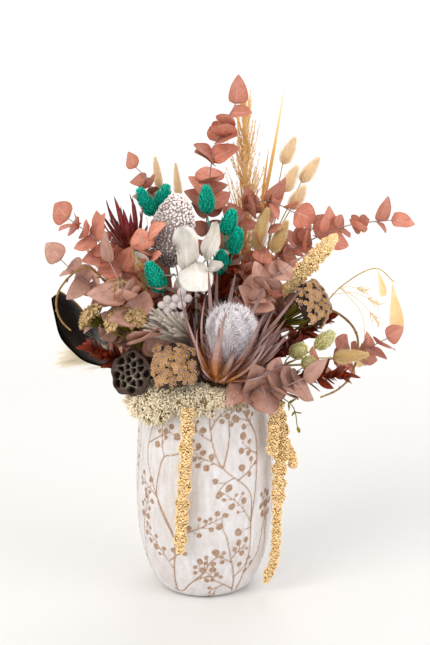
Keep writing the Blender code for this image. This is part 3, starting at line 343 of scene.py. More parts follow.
def smoothPath(points, steps):
    ends = [points[0] * 2 - points[1], *points, points[-1] * 2 - points[-2]]
    path = []
    for a, b, c, d in zip(ends, ends[1:], ends[2:], ends[3:]):
        for i in range(steps):
            t = i / steps
            path.append(0.5 * ((2 * b) + (c - a) * t + (2 * a - 5 * b + 4 * c - d) * t * t
                               + (3 * b - a - 3 * c + d) * t ** 3))
    path.append(points[-1])
    return path


def pointAlong(path, share):
    lengths = [(b - a).length for a, b in zip(path, path[1:])]
    left = share * sum(lengths)
    for (a, b), length in zip(zip(path, path[1:]), lengths):
        if left <= length or b is path[-1]:
            return a.lerp(b, left / length), (b - a).normalized()
        left -= length


def around(run, angle):
    # a unit vector square to the run
    return Matrix.Rotation(angle, 3, run) @ run.orthogonal().normalized()


def leaning(run, out, angle):
    return run * math.cos(angle) + out * math.sin(angle)


def onCircle(angle, y=0.0):
    return Vector((math.cos(angle), y, math.sin(angle)))


def turnTo(direction, towards):
    # Y runs along the direction and Z leans towards the other vector
    y = direction.normalized()
    x = y.cross(towards)
    if x.length < 1e-6:
        x = y.orthogonal()
    x.normalize()
    return Matrix((x, y, x.cross(y))).transposed()


# Shapes

def newShape():
    bm = bmesh.new()
    for mark in vertexMarks:
        bm.verts.layers.float.new(mark)
    return bm


def addSkin(bm, columns, rows, place, finish=0, tone=0.5):
    # a grid rolled up by the place formula, with its seam and its ends merged
    along, across, toned = (bm.verts.layers.float[mark] for mark in vertexMarks)
    verts = bmesh.ops.create_grid(bm, x_segments=columns, y_segments=rows, size=0.5)["verts"]
    for face in {face for vert in verts for face in vert.link_faces}:
        face.material_index = finish
    for vert in verts:
        u, v = vert.co.x + 0.5, vert.co.y + 0.5
        vert[along], vert[across], vert[toned] = v, math.cos(fullTurn * u), tone
        vert.co = place(u, v)
    bmesh.ops.remove_doubles(bm, verts=verts, dist=2e-6)


def addTube(bm, path, radii, sides=6, finish=0, tone=0.5):
    # radii are the two ends' in mm, or a function of the share of the way that gives metres
    radiusAt = radii if callable(radii) else lambda share: (radii[0] + (radii[1] - radii[0]) * share) * mm
    frames = []
    last = len(path) - 1
    across = (path[1] - path[0]).orthogonal().normalized()
    for i, at in enumerate(path):
        run = (path[min(i + 1, last)] - path[max(i - 1, 0)]).normalized()
        across = (across - run * across.dot(run)).normalized()
        frames.append((at, across, run.cross(across)))
    rows = last + 2

    def place(u, v):
        row = round(v * rows)
        at, a, b = frames[min(max(row - 1, 0), last)]
        radius = 0 if row in (0, rows) else radiusAt((row - 1) / last)
        return at + leaning(a, b, fullTurn * u) * radius

    addSkin(bm, sides, rows, place, finish, tone)


def addCore(bm, foot, rise, radiusAt, columns, rows, finish=0, tone=0.1):
    # a body of turning round a straight line; it gets a low tone, so it is painted darker than the copies set
    # round it, as painted shade
    def place(u, v):
        return foot + rise * v + around(rise, fullTurn * u) * radiusAt(v)

    addSkin(bm, columns, rows, place, finish, tone)


def makeCopy(name, columns, rows, bend=None, lobes=0, deep=0.0, ruffle=0.0, flat=1.0):
    # a small closed shape that is copied many times, from rows of radius and height along Y, which is 1 long
    def place(u, v):
        row = round(v * (len(rows) - 1))
        radius, y = rows[row]
        wave = math.cos(lobes * fullTurn * u)
        x, _, z = onCircle(fullTurn * u) * radius * (1 + deep * wave * (row in (2, 3)))
        return Vector((x, y + ruffle * wave * (row == 2), z * flat + (bend(y) if bend else 0)))

    bm = newShape()
    addSkin(bm, columns, len(rows) - 1, place)
    return asMesh(bm, name)


def stamp(bm, shape, at, direction, towards, wide, long, tone):
    copy = shape.copy()
    turn = turnTo(direction, towards).to_4x4()
    copy.transform(Matrix.Translation(at) @ turn @ Matrix.Diagonal((wide, long, wide, 1)))
    copy.attributes["tone"].data.foreach_set("value", [tone] * len(copy.vertices))
    bm.from_mesh(copy)
    bpy.data.meshes.remove(copy)


hair = makeCopy("hair", 3, ((0, 0), (0.5, 0.3), (0, 1)), lambda y: 0.06 * y * y)
curlyHair = makeCopy("curly_hair", 3, ((0, 0), (0.4755, 0.25), (0.4455, 0.5), (0.1545, 0.75), (0, 1)),
                     lambda y: 0.35 * math.sin(3 * y) * y)
seedScale = makeCopy("seed_scale", 5, ((0, 0), (0.4908, 1 / 3), (0.3669, 2 / 3), (0, 1)),
                     lambda y: 0.25 * math.sin(2 * y), flat=0.5)
# a yarrow floret is a little cup with a lobed rim round a raised centre
floret = makeCopy("floret", 10, ((0, 0), (0.16, 0.25), (0.50, 0.80), (0.40, 0.92), (0.22, 0.82), (0, 1)),
                  lobes=5, deep=0.13)
# a papery floret is a thin funnel with a ruffled rim
paperCup = makeCopy("paper_cup", 8, ((0, 0), (0.12, 0.35), (0.50, 1), (0.36, 0.86), (0, 0.62)), lobes=4,
                    deep=0.18, ruffle=0.10)
# a banksia floret is a bent style that ends in a knob
style = makeCopy("style", 4, ((0, 0), (0.22, 0.10), (0.20, 0.55), (0.50, 0.82), (0, 1)),
                 lambda y: 0.25 * math.sin(2.2 * y))


def cadShape(node):
    # what a fine plant reads from its CAD solid: its hole, its bend and where its tips are
    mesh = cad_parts[node].data
    points = [vert.co.copy() for vert in mesh.vertices]
    corners = KDTree(len(points))
    for i, point in enumerate(points):
        corners.insert(point, i)
    corners.balance()
    tree = BVHTree.FromPolygons(points, [tuple(face.vertices) for face in mesh.polygons])
    return {"points": points, "corners": corners, "tree": tree}


def isTip(shape, point):
    return shape["corners"].find(point)[2] < 0.3 * mm


def findStem(shape, points, steps=2):
    # the hole is under the stem's foot, and the bend is the one whose curve lies in the solid
    feet = [p for p in shape["points"] if abs(p.z - stemFoot) < 1e-4]
    hole = sum(feet, Vector()) / len(feet)
    mouth = Vector((hole.x, hole.y, holeMouth))
    bends = [Vector((0, 0, 0))]
    for ring in range(1, stemBends["rings"] + 1):
        for turn in range(stemBends["turns"]):
            angle = fullTurn * (turn + 0.5 * (ring % 2)) / stemBends["turns"]
            lift = stemBends["lift"] * math.sin(2 * angle)
            bends.append(onCircle(angle, lift).xzy * ring * stemBends["step"] * mm)

    def controls(bend):
        arch = up * stemBends["arch"] * (points[0] - mouth).length
        return [mouth, mouth.lerp(points[0], 0.5) + arch + bend, *points]

    def stray(bend):
        return sum(shape["tree"].find_nearest(p)[3] for p in smoothPath(controls(bend), steps))

    best = controls(min(bends, key=stray))
    foot = mouth - up * stemBends["deep"] * mm
    return [foot, *smoothPath(best, steps)], [foot, *smoothPath(best, 6)]


def startPlant(node, points, radii, sides=6, finish=1):
    # a shape that holds the stem; the CAD solid, and the stem's path, plain and fine, place the rest
    shape = cadShape(node)
    path, fine = findStem(shape, points)
    bm = newShape()
    addTube(bm, fine, radii, sides, finish)
    return bm, shape, path, fine


def finishPiece(bm, node, slot, worn, crease=50):
    piece = addToScene(node + "_fine", asMesh(bm, node + "_fine"))
    for key in worn:
        piece.data.materials.append(finishes[key])
    if crease:
        piece.data.set_sharp_from_angle(angle=math.radians(crease))
    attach(piece, "root")
    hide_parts(node)


# Leafy sprays

leafTries = [(shrink, turn) for shrink in (1, 0.8, 0.62)
             for turn in (0, 0.5, -0.5, 1.0, -1.0, 1.6, -1.6, 2.4, -2.4, 3.0)]
roundLeaf = {"narrow": 0.94, "lean": 1.05, "root": 0.32, "point": 0.86, "stalk": 0.02}
darkLeaf = {"narrow": 0.42, "lean": 0.8, "root": 0.62, "point": 0.95, "stalk": 0.02}
leafLooks = {
    # finishes, form of the leaf, radius of the stem in mm
    "eucalyptus": ("salmonLeaf", "leafStem", roundLeaf, 1.15),
    "mauve_leaf": ("mauveLeaf", "leafStem", roundLeaf, 1.15),
    "red_leaf": ("redLeaf", "redStem", darkLeaf, 1.15),
    "green_leaf": ("greenLeaf", "oliveStalk", {**darkLeaf, "lean": 1.05}, 0.7),
}
leafSet = {"topShare": 0.985, "topLean": 0.35, "scales": 9, "moreShare": 1.4, "thick": 0.35 * mm}
moreShares = {"eucalyptus_mauve": 0.5, "eucalyptus_left": 2.2}
sprays = (
    # node, points of the stem, count, size, seed, start, slot
    ("eucalyptus_mauve", ((-60, -60, 306), (-80, -66, 352), (-106, -58, 404)), 9, 48, 1, 0.36, "mauve_leaf"),
    ("eucalyptus_front", ((48, -76, 264), (74, -96, 264), (112, -84, 276)), 8, 46, 2, 0.40, "mauve_leaf"),
    ("eucalyptus_left", ((-86, -6, 370), (-118, -16, 416), (-158, -8, 446)), 12, 40, 4, 0.40, "eucalyptus"),
    ("eucalyptus_centre", ((46, -42, 340), (70, -48, 376), (98, -44, 398)), 10, 40, 9, 0.40, "mauve_leaf"),
    ("eucalyptus_top", ((2, 26, 430), (11, 22, 521), (38, 14, 577)), 10, 40, 3, 0.62, "eucalyptus"),
    ("eucalyptus_long_right", ((64, 22, 378), (100, 24, 402), (162, 20, 431), (222, 20, 439)),
     12, 36, 5, 0.46, "eucalyptus"),
    ("eucalyptus_upper_right", ((34, 12, 424), (66, 12, 462), (108, 16, 446)), 9, 40, 6, 0.60, "eucalyptus"),
    ("eucalyptus_low_left", ((-104, 4, 350), (-140, -4, 372), (-168, -4, 398)), 7, 38, 7, 0.56, "mauve_leaf"),
    ("eucalyptus_low_right", ((120, -4, 272), (178, 10, 282), (218, 14, 300)), 6, 38, 8, 0.66, "eucalyptus"),
    ("eucalyptus_small", ((-56, 44, 448), (-66, 48, 480), (-84, 50, 500)), 5, 32, 10, 0.80, "eucalyptus"),
    ("eucalyptus_back_left", ((-60, 62, 330), (-98, 84, 376), (-128, 92, 418)),
     9, 38, 41, 0.45, "eucalyptus"),
    ("eucalyptus_back_right", ((66, 66, 336), (104, 88, 382), (136, 98, 424)), 9, 38, 42, 0.45, "eucalyptus"),
    ("eucalyptus_back_low", ((-6, 84, 282), (-10, 122, 300), (-22, 150, 330)), 8, 40, 43, 0.45, "mauve_leaf"),
    ("red_leaves_left", ((-90, -36, 280), (-126, -48, 302)), 9, 32, 21, 0.5, "red_leaf"),
    ("red_leaves_right", ((112, -30, 262), (158, -34, 266)), 10, 32, 22, 0.42, "red_leaf"),
    ("red_leaves_far_right", ((94, 10, 292), (140, 8, 322)), 10, 32, 23, 0.42, "red_leaf"),
    ("red_leaves_centre", ((10, -16, 330), (26, -10, 384)), 10, 44, 24, 0.30, "red_leaf"),
    ("red_leaves_back", ((40, 76, 300), (62, 104, 332)), 8, 32, 45, 0.40, "red_leaf"),
    ("green_sprig", ((62, -56, 256), (98, -64, 240), (106, -66, 212)), 5, 13, 33, 0.75, "green_leaf"),
)
# Twigs that fill the shadows of the bouquet: how many, and the middle, half width and half depth in mm
fillings = {
    "red_leaves_centre": (30, (18, -8, 405), 92, 34),
    "red_leaves_back": (22, (6, 48, 385), 84, 44),
    "red_leaves_far_right": (13, (90, -8, 362), 46, 26),
    "red_leaves_left": (14, (-60, -8, 374), 46, 24),
    "eucalyptus_left": (7, (-72, -34, 456), 28, 8),
    "eucalyptus_low_left": (4, (-124, -16, 384), 26, 8),
    "eucalyptus_upper_right": (4, (70, -6, 462), 30, 10),
}


def outlineOf(kind):
    peak = kind["root"] / (kind["root"] + kind["point"])
    full = peak ** kind["root"] * (1 - peak) ** kind["point"]
    thin = 0.035

    def outline(v):
        if v <= kind["stalk"]:
            return thin * (v > 0)
        t = (v - kind["stalk"]) / (1 - kind["stalk"])
        return max(thin * (v < 1), t ** kind["root"] * (1 - t) ** kind["point"] / full)
    return outline


def addLeaf(bm, at, heading, facing, reach, width, cup, kind, look, finish=0, tone=None, columns=10, rows=10):
    # a dished leaf that curls a little along its length and waves at its edge
    tone = look.random() if tone is None else tone
    turn, outline = turnTo(heading, facing), outlineOf(kind)
    curl, ripple, phase = look.uniform(-0.20, 0.16), look.uniform(0.01, 0.05), look.uniform(0, 6)
    sway = look.uniform(-0.05, 0.05)

    def place(u, v):
        v = (1 - math.cos(math.pi * v)) / 2
        side = math.cos(fullTurn * u)
        half = width / 2 * outline(v)
        z = cup * half * abs(side) ** 1.4 + curl * reach * v * v
        z += ripple * reach * side * side * math.sin(7 * v + phase + 2 * (side > 0)) * min(1, 4 * v * (1 - v))
        z += leafSet["thick"] * math.sin(fullTurn * u) * (outline(v) > 0)
        return at + turn @ Vector((half * side + sway * reach * math.sin(math.pi * v), reach * v, z))

    addSkin(bm, columns, rows, place, finish, tone)


def leafAxes(run, out, lean):
    return leaning(run, out, lean), run * math.sin(lean) - out * math.cos(lean) + Vector((0, -0.9, 0.2))


def addFilling(bm, path, kind, look, twigs, middle, wide, deep):
    root, _ = pointAlong(path, 0.2)
    for i in range(twigs):
        reach, angle = math.sqrt((i + 0.5) / twigs), i * goldenTurn
        tip = spot(middle) + spot((wide * reach * math.cos(angle), deep * reach * math.sin(angle),
                                   -78 * reach ** 1.6 + look.uniform(-24, 14)))
        twig = smoothPath([root, root.lerp(tip, 0.5) + up * 9 * mm, tip], 5)
        addTube(bm, twig, (0.75, 0.4), 4, 1)
        leaves = 6 if kind is roundLeaf else 13 if i % 3 else 9
        for j in range(leaves):
            at, run = pointAlong(twig, 0.34 + 0.64 * j / leaves)
            out = around(run, 2.3 * j + i)
            axes = (run * 0.7 + out, run - out + Vector((0, -0.8, 0.2)))
            if kind is roundLeaf:
                reach = look.uniform(24, 34) * mm
                addLeaf(bm, at, *axes, reach, reach * 0.92, 0.2, kind, look)
            elif i % 3:
                addLeaf(bm, at, *axes, look.uniform(13, 22) * mm, look.uniform(5, 8) * mm, 0.3, kind, look,
                        columns=6, rows=6)
            else:
                # the round leaves here take only low tones, painted darker as painted shade
                addLeaf(bm, at, *axes, look.uniform(18, 27) * mm, look.uniform(16, 23) * mm, 0.25, roundLeaf,
                        look, 2, look.uniform(0, 0.4), 8, 8)


def leafySpray(node, points, leaves, size, seed, start, slot):
    leafFinish, stemFinish, kind, thick = leafLooks[slot]
    bm, shape, path, _ = startPlant(node, spots(points), (thick, 0.6))
    draw, look = random.Random(seed), random.Random(seed + 100)
    found = 0
    for i in range(leaves):
        top = i == leaves - 1
        share = leafSet["topShare"] if top else start + (1 - start) * (i // 2 + 0.35) / ((leaves + 1) // 2)
        at, run = pointAlong(path, share)
        side = run.orthogonal().normalized()
        spin = math.pi * (i % 2) + 1.35 * (i // 2) + draw.uniform(-0.4, 0.4)
        length = size * mm * draw.uniform(0.82, 1.12) * (1.05 - 0.25 * share)
        dish = draw.uniform(0.10, 0.28)
        for shrink, turn in leafTries:
            axes = leafAxes(run, around(run, spin + turn), leafSet["topLean"] if top else kind["lean"])
            reach = length * shrink
            if isTip(shape, at + axes[0].normalized() * reach):
                addLeaf(bm, at, *axes, reach, reach * kind["narrow"], dish, kind, look)
                found += 1
                break
        for extra in range(leafSet["scales"] if slot == "red_leaf" else 0):
            # the small scale-like leaves between the large ones
            spin += 1.9
            at, run = pointAlong(path, min(0.99, share - 0.09 + 0.028 * extra))
            out = Matrix.Rotation(spin, 3, run) @ side
            reach = size * mm * look.uniform(0.30, 0.55)
            addLeaf(bm, at, leaning(run, out, 0.75), run - out, reach, reach * 0.46, 0.3, kind, look,
                    columns=6, rows=5)
    # more of the same round leaves than the CAD frame holds, in pairs
    more = round(leaves * moreShares.get(node, leafSet["moreShare"])) if kind is roundLeaf else 0
    for extra in range(more):
        share = start * 0.75 + (0.97 - start * 0.75) * (extra + look.random()) / more
        if extra % 2:
            out = -out
        else:
            at, run = pointAlong(path, share)
            out = around(run, look.uniform(0, fullTurn))
        reach = size * mm * look.uniform(0.62, 0.98) * (1.05 - 0.3 * share)
        addLeaf(bm, at, *leafAxes(run, out, kind["lean"]), reach, reach * look.uniform(0.85, 1.0),
                look.uniform(0.1, 0.3), kind, look)
    if node in fillings:
        addFilling(bm, path, kind, look, *fillings[node])
    print(" ", node, found, "of", leaves, "leaves")
    # the third finish is that of the round leaves among the dark twigs
    finishPiece(bm, node, slot, (leafFinish, stemFinish, "mauveLeaf"))


for spray in sprays:
    leafySpray(*spray)
print("leafy sprays")


# Seed heads: glumes or hair set in a spiral on a slim core

glumes = {"shape": seedScale, "widest": 8.6, "at": 0.40, "point": 0.6, "core": 0.78, "count": 165,
          "reach": 7.4, "wide": 2.7, "lean": 0.72, "awns": 0}
downyHair = {"shape": hair, "widest": 8.2, "at": 0.34, "point": 0.9, "core": 0.60, "count": 980,
             "reach": 8.0, "wide": 0.44, "lean": 0.85, "awns": 90}
# Form of the head, slot, finishes of head and stem, radius of the stem in mm
tealGrass = (glumes, "teal", "tealScale", "tealStem", 0.9)
greenGrass = (glumes, "green_seed", "greenScale", "grassStem", 0.9)
creamTail = (downyHair, "cream_fluff", "creamHair", "grassStem", 0.8)
oliveTail = (downyHair, "cream_fluff", "oliveHair", "grassStem", 0.8)
seedHeads = (
    # node, look, what differs in its form, heads as base and tip, joint of their stalks
    ("teal_canary_grass_low", tealGrass, {"widest": 10.2}, (((-48, -44, 366), (-62, -50, 400)),)),
    ("teal_canary_grass_left", tealGrass, {},
     (((-60, 22, 444), (-76, 18, 475)), ((-54, 30, 449), (-44, 30, 478))), (-52, 24, 415)),
    ("teal_canary_grass_right", tealGrass, {},
     (((3, 3, 449), (2, 0, 480)), ((23, -8, 426), (33, -12, 454)), ((32, -12, 404), (39, -16, 434)),
      ((17, -12, 380), (20, -16, 408))), (20, -10, 348)),
    ("green_canary_grass", greenGrass, {"widest": 9.0, "at": 0.5, "reach": 6.4, "wide": 2.0},
     (((99, -42, 293), (114, -56, 304)), ((127, -40, 300), (147, -44, 319)),
      ((112, -60, 286), (122, -72, 290))),
     (92, -34, 278)),
    ("bunny_tails_middle", oliveTail, {}, (((58, -2, 407), (72, -8, 455)), ((78, -6, 405), (94, -12, 441))),
     (58, 2, 370)),
    ("bunny_tail_low_right", oliveTail, {}, (((148, -38, 288), (186, -36, 291)),)),
    ("cream_spear_left", creamTail, {"reach": 6.0}, (((-94, -4, 358), (-136, 2, 407)),)),
    ("tan_spear_left", oliveTail, {"reach": 5.0}, (((-67, -30, 368), (-81, -24, 418)),)),
    ("bunny_tails_right", creamTail, {},
     (((92, 55, 501), (106, 55, 531)), ((93, 40, 470), (108, 40, 499)), ((114, 50, 480), (134, 50, 508)),
      ((101, 34, 450), (117, 34, 476))), (74, 38, 400)),
    ("bunny_tails_left", creamTail, {"widest": 5.6, "reach": 5.0},
     (((-54, 66, 470), (-60, 72, 508)), ((-30, 60, 446), (-35, 62, 502))), (-40, 56, 400)),
)


def eggRadius(widest, at, share, point=0.5):
    # a point above 0.5 draws the upper end out
    x = share / at if share < at else (1 - share) / (1 - at)
    return widest * max(0, 1 - (1 - x) ** 2) ** (0.5 if share < at else point)


def addHead(bm, base, tip, kind, look):
    run, length = (tip - base).normalized(), (tip - base).length
    foot = base - run * 1.5 * mm

    def radiusAt(share):
        return eggRadius(kind["widest"] * kind["core"] * mm, kind["at"], share, kind["point"])

    addCore(bm, foot, run * (length + 1.5 * mm) * 0.96, radiusAt, 8, 8, 0, 0.15)
    for i in range(kind["count"]):
        share = 0.02 + 0.96 * (i + 0.5) / kind["count"]
        out = around(run, i * goldenTurn + look.uniform(-0.15, 0.15))
        heading = leaning(run, out, kind["lean"] * (1 - 0.75 * share ** 2) * look.uniform(0.85, 1.15))
        reach = kind["reach"] * mm * look.uniform(0.85, 1.15) * (1 - 0.3 * share)
        stamp(bm, kind["shape"], foot + run * length * share + out * radiusAt(share) * 0.9, heading, out,
              kind["wide"] * mm * look.uniform(0.85, 1.15), reach, look.random())
    for _ in range(kind["awns"]):
        at = foot + run * length * look.uniform(0.1, 0.95)
        out = around(run, look.uniform(0, 6.28))
        stamp(bm, hair, at, run + out * 0.8, out, 0.22 * mm, look.uniform(11, 15) * mm, 0.9)


def seedHead(node, dress, changes, heads, joint=None):
    kind, slot, headFinish, stemFinish, radius = dress
    heads = [spots(head) for head in heads]
    meeting = spot(joint) if joint else heads[0][0]
    bm, *_ = startPlant(node, [meeting], (radius * 1.4 if joint else radius, radius))
    look = random.Random(node)
    for base, tip in heads if joint else ():
        branch = smoothPath([meeting, meeting.lerp(base, 0.5) + (base - tip) * 0.15, base], 4)
        addTube(bm, branch, (radius, radius * 0.8), 6, 1)
    for base, tip in heads:
        addHead(bm, base, tip, {**kind, **changes}, look)
    finishPiece(bm, node, slot, (headFinish, stemFinish))


for head in seedHeads:
    seedHead(*head)
print("seed heads")


# Banksia: a cone of styles in slanting rows

banksiaCone = {"base": (-43, -14, 388), "tip": (-30, 0, 467), "radius": 23, "florets": 1000, "reach": 6.4,
               "wide": 2.9, "columns": 28}


def banksia():
    base, tip = spot(banksiaCone["base"]), spot(banksiaCone["tip"])
    bm, *_ = startPlant("banksia", [base], (3.5, 3.5), 10)
    run = (tip - base).normalized()
    look = random.Random(7)
    pitch = fullTurn / banksiaCone["columns"]

    def radiusAt(share):
        return banksiaCone["radius"] * mm * min(1, 4.2 * (share + 0.02), math.sqrt(max(0, 3.2 * (1 - share))))

    addCore(bm, base, tip - base, lambda v: radiusAt(v) * 0.80 * (v < 1), 24, 16)
    for i in range(banksiaCone["florets"]):
        share = 0.01 + 0.985 * (i + 0.5) / banksiaCone["florets"] + look.uniform(-0.012, 0.012)
        share = min(0.995, max(0.01, share))
        # old florets at the foot stand in upright columns, and new ones crowd over the top
        angle = i * goldenTurn
        angle += (round(angle / pitch) * pitch - angle) * clamp(1.7 - 2.4 * share) + look.uniform(-0.07, 0.07)
        out = around(run, angle)
        at = base + (tip - base) * share + out * radiusAt(share) * look.uniform(0.74, 0.82)
        heading = out + run * (0.15 + 5.6 * max(0, share - 0.75))
        # the florets grow paler and wider towards the top; on the right side they are paler and wider as
        # well, as painted light
        paleUpwardAndLitRight = clamp(1.1 * share + 0.35 * out.x - 0.08 + look.uniform(-0.25, 0.25))
        stamp(bm, style, at, heading, run, banksiaCone["wide"] * mm * (0.62 + 0.62 * paleUpwardAndLitRight),
              banksiaCone["reach"] * mm * look.uniform(0.85, 1.1), paleUpwardAndLitRight)
    finishPiece(bm, "banksia", "grey_banksia", ("banksiaFloret", "willowBark"))


banksia()
print("banksia")


# Proteas: a hairy dome or a slim core, held in rings of pointed bracts

bractKind = {"root": 0.42, "point": 0.80, "stalk": 0.0}
# Rows are count, radius, spread, length and width; those between have no solid of their own
greyCrown = {"base": (16, -58, 264), "axis": (0.16, -0.28, 0.74), "seed": 11,
             "rows": ((7, 11, 0.26, 122, 9), (8, 9, 0.52, 130, 9), (4, 7, 0.95, 46, 10)),
             "between": ((14, 18, 0.13, 56, 13), (12, 14, 0.28, 62, 8), (10, 11, 0.50, 92, 6),
                         (9, 9, 0.78, 70, 6.5)),
             "egg": {"foot": 26, "rise": 69.84, "radius": 23.5, "at": 0.58},
             "hairs": 1800, "rightward": 22, "wisps": 240}
redCrown = {"base": (-84, 12, 402), "axis": (-0.2, 0.04, 0.95), "seed": 23,
            "rows": ((5, 5, 0.18, 62, 9), (7, 7, 0.46, 58, 9), (4, 6, 0.90, 34, 9)),
            "between": ((6, 5, 0.32, 50, 7), (5, 6, 0.70, 38, 8)),
            "egg": {"foot": -3, "rise": 37, "radius": 10, "at": 0.4}}


def addBract(bm, start, axis, out, spread, reach, width, look):
    turn = turnTo(leaning(axis, out, spread), axis * 0.3 - out)
    outline = outlineOf(bractKind)
    tone, twist = look.random(), look.uniform(-1.2, 1.2)
    bow, sway = look.uniform(-0.10, 0.0), look.uniform(-0.05, 0.05)

    def place(u, v):
        side = math.cos(fullTurn * u)
        half = width / 2 * outline(v) * (v > 0)
        z = 0.42 * half * abs(side) ** 1.5 + bow * reach * math.sin(math.pi * v)
        z += 0.5 * mm * math.sin(fullTurn * u) * (v not in (0, 1))
        roll = Matrix.Rotation(twist * v * v, 3, "Y")
        rib = Vector((sway * reach * v * v, reach * v, 0))
        return start + turn @ (roll @ Vector((half * side, 0, z)) + rib)

    addSkin(bm, 12, 14, place, 0, tone)


def addCrown(bm, shape, base, axis, crown, look):
    # the same draws as the CAD frame's, so that each bract is found; the small ones between them are extra
    draw = random.Random(crown["seed"])
    found = 0
    for row, (count, radius, spread, length, width) in enumerate(crown["rows"]):
        for i in range(count):
            for turn in (0, 0.12, -0.12, 0.24, -0.24):
                out = around(axis, fullTurn * (i + 0.5 * (row % 2)) / count + turn)
                reach = length * mm * draw.uniform(0.86, 1.08)
                start = base + (axis * 0.6 + out) * radius * mm
                if isTip(shape, start + leaning(axis, out, spread).normalized() * reach):
                    addBract(bm, start, axis, out, spread, reach, width * mm * 0.85, look)
                    found += 1
                    break
    for row, (count, radius, spread, length, width) in enumerate(crown["between"]):
        for i in range(count):
            out = around(axis, fullTurn * (i + 0.25 + 0.5 * (row % 2)) / count + look.uniform(-0.1, 0.1))
            start = base + (axis * 0.5 + out * 0.9) * radius * mm
            addBract(bm, start, axis, out, spread, length * mm * look.uniform(0.8, 1.1), width * mm, look)
    print("  bracts found", found)


def addEgg(bm, base, axis, egg, columns, rows, finish=0):
    foot, rise = base + axis * egg["foot"] * mm, axis * egg["rise"] * mm
    addCore(bm, foot, rise, lambda v: eggRadius(egg["radius"] * mm, egg["at"], v), columns, rows, finish)
    return foot, rise


def greyProtea():
    base, axis = spot(greyCrown["base"]), Vector(greyCrown["axis"]).normalized()
    bm, shape, *_ = startPlant("grey_protea", [base], (4, 4), 10, 2)
    look = random.Random(111)
    egg = greyCrown["egg"]
    foot, rise = addEgg(bm, base, axis, egg, 24, 20, 1)
    hairs = curlyHair.copy()
    hairs.polygons.foreach_set("material_index", [1] * len(hairs.polygons))
    for i in range(greyCrown["hairs"]):
        # hair is combed up the dome in locks and closes over its top
        share, angle = 0.16 + 0.83 * (i + 0.5) / greyCrown["hairs"], i * goldenTurn
        lock = 0.35 * math.sin(5 * angle + 9 * share)
        out = around(axis, angle)
        heading = axis * (1.1 - share) + out * (0.30 - 0.9 * max(0, share - 0.6)) + axis.cross(out) * lock
        at = foot + rise * share + out * eggRadius((egg["radius"] + 0.3) * mm, egg["at"], share)
        stamp(bm, hairs, at, heading, out, 1.35 * mm, look.uniform(8, 14) * mm, look.random())
    addCrown(bm, shape, base, axis, greyCrown, look)
    # more long bracts are bent over to the right, and wisps stick out of the dome, most of them at the left
    right = Vector((1, -0.2, 0))
    right = (right - axis * right.dot(axis)).normalized()
    for _ in range(greyCrown["rightward"]):
        out = Matrix.Rotation(look.uniform(-1.1, 1.1), 3, axis) @ right
        spread = look.uniform(0.38, 0.95)
        start = base + axis * look.uniform(4, 12) * mm + out * 8 * mm
        addBract(bm, start, axis, out, spread, look.uniform(70, 104) * mm, look.uniform(6, 9) * mm, look)
    for i in range(greyCrown["wisps"]):
        turn = look.uniform(-1.2, 1.2) if i % 3 else look.uniform(-math.pi, math.pi)
        out = Matrix.Rotation(turn, 3, axis) @ -right
        at = base + axis * look.uniform(34, 84) * mm + out * 18 * mm
        stamp(bm, hairs, at, out + axis * look.uniform(0.6, 2.2), axis, 0.75 * mm, look.uniform(11, 24) * mm,
              look.random())
    finishPiece(bm, "grey_protea", "grey_bract", ("greyBract", "proteaHair", "willowBark"))


def redProtea():
    base, axis = spot(redCrown["base"]), Vector(redCrown["axis"]).normalized()
    bm, shape, *_ = startPlant("red_protea", [base], (2.25, 2.25), 8)
    addEgg(bm, base, axis, redCrown["egg"], 12, 8)
    addCrown(bm, shape, base, axis, redCrown, random.Random(123))
    finishPiece(bm, "red_protea", "red_bract", ("redBract", "willowBark"))


greyProtea()
redProtea()
print("proteas")


# Yarrow: a domed plate of florets on a fan of stalks

yarrows = (
    # node, middle of the plate, facing, width, florets
    ("yarrow_front", (-34, -95, 297), (-0.08, -0.80, 0.58), 57, 210),
    ("yarrow_right", (132, -28, 353), (0.74, -0.44, 0.42), 56, 210),
    ("yarrow_back", (-58, 92, 296), (-0.45, 0.75, 0.5), 54, 130),
)
# Share of the plate's radius and drop in mm, row by row, of the shadowed mass that the florets stand on
yarrowUnder = ((0, 5), (0.25, 5), (0.6, 5), (0.92, 5), (0.9, 11), (0.6, 19), (0, 23))


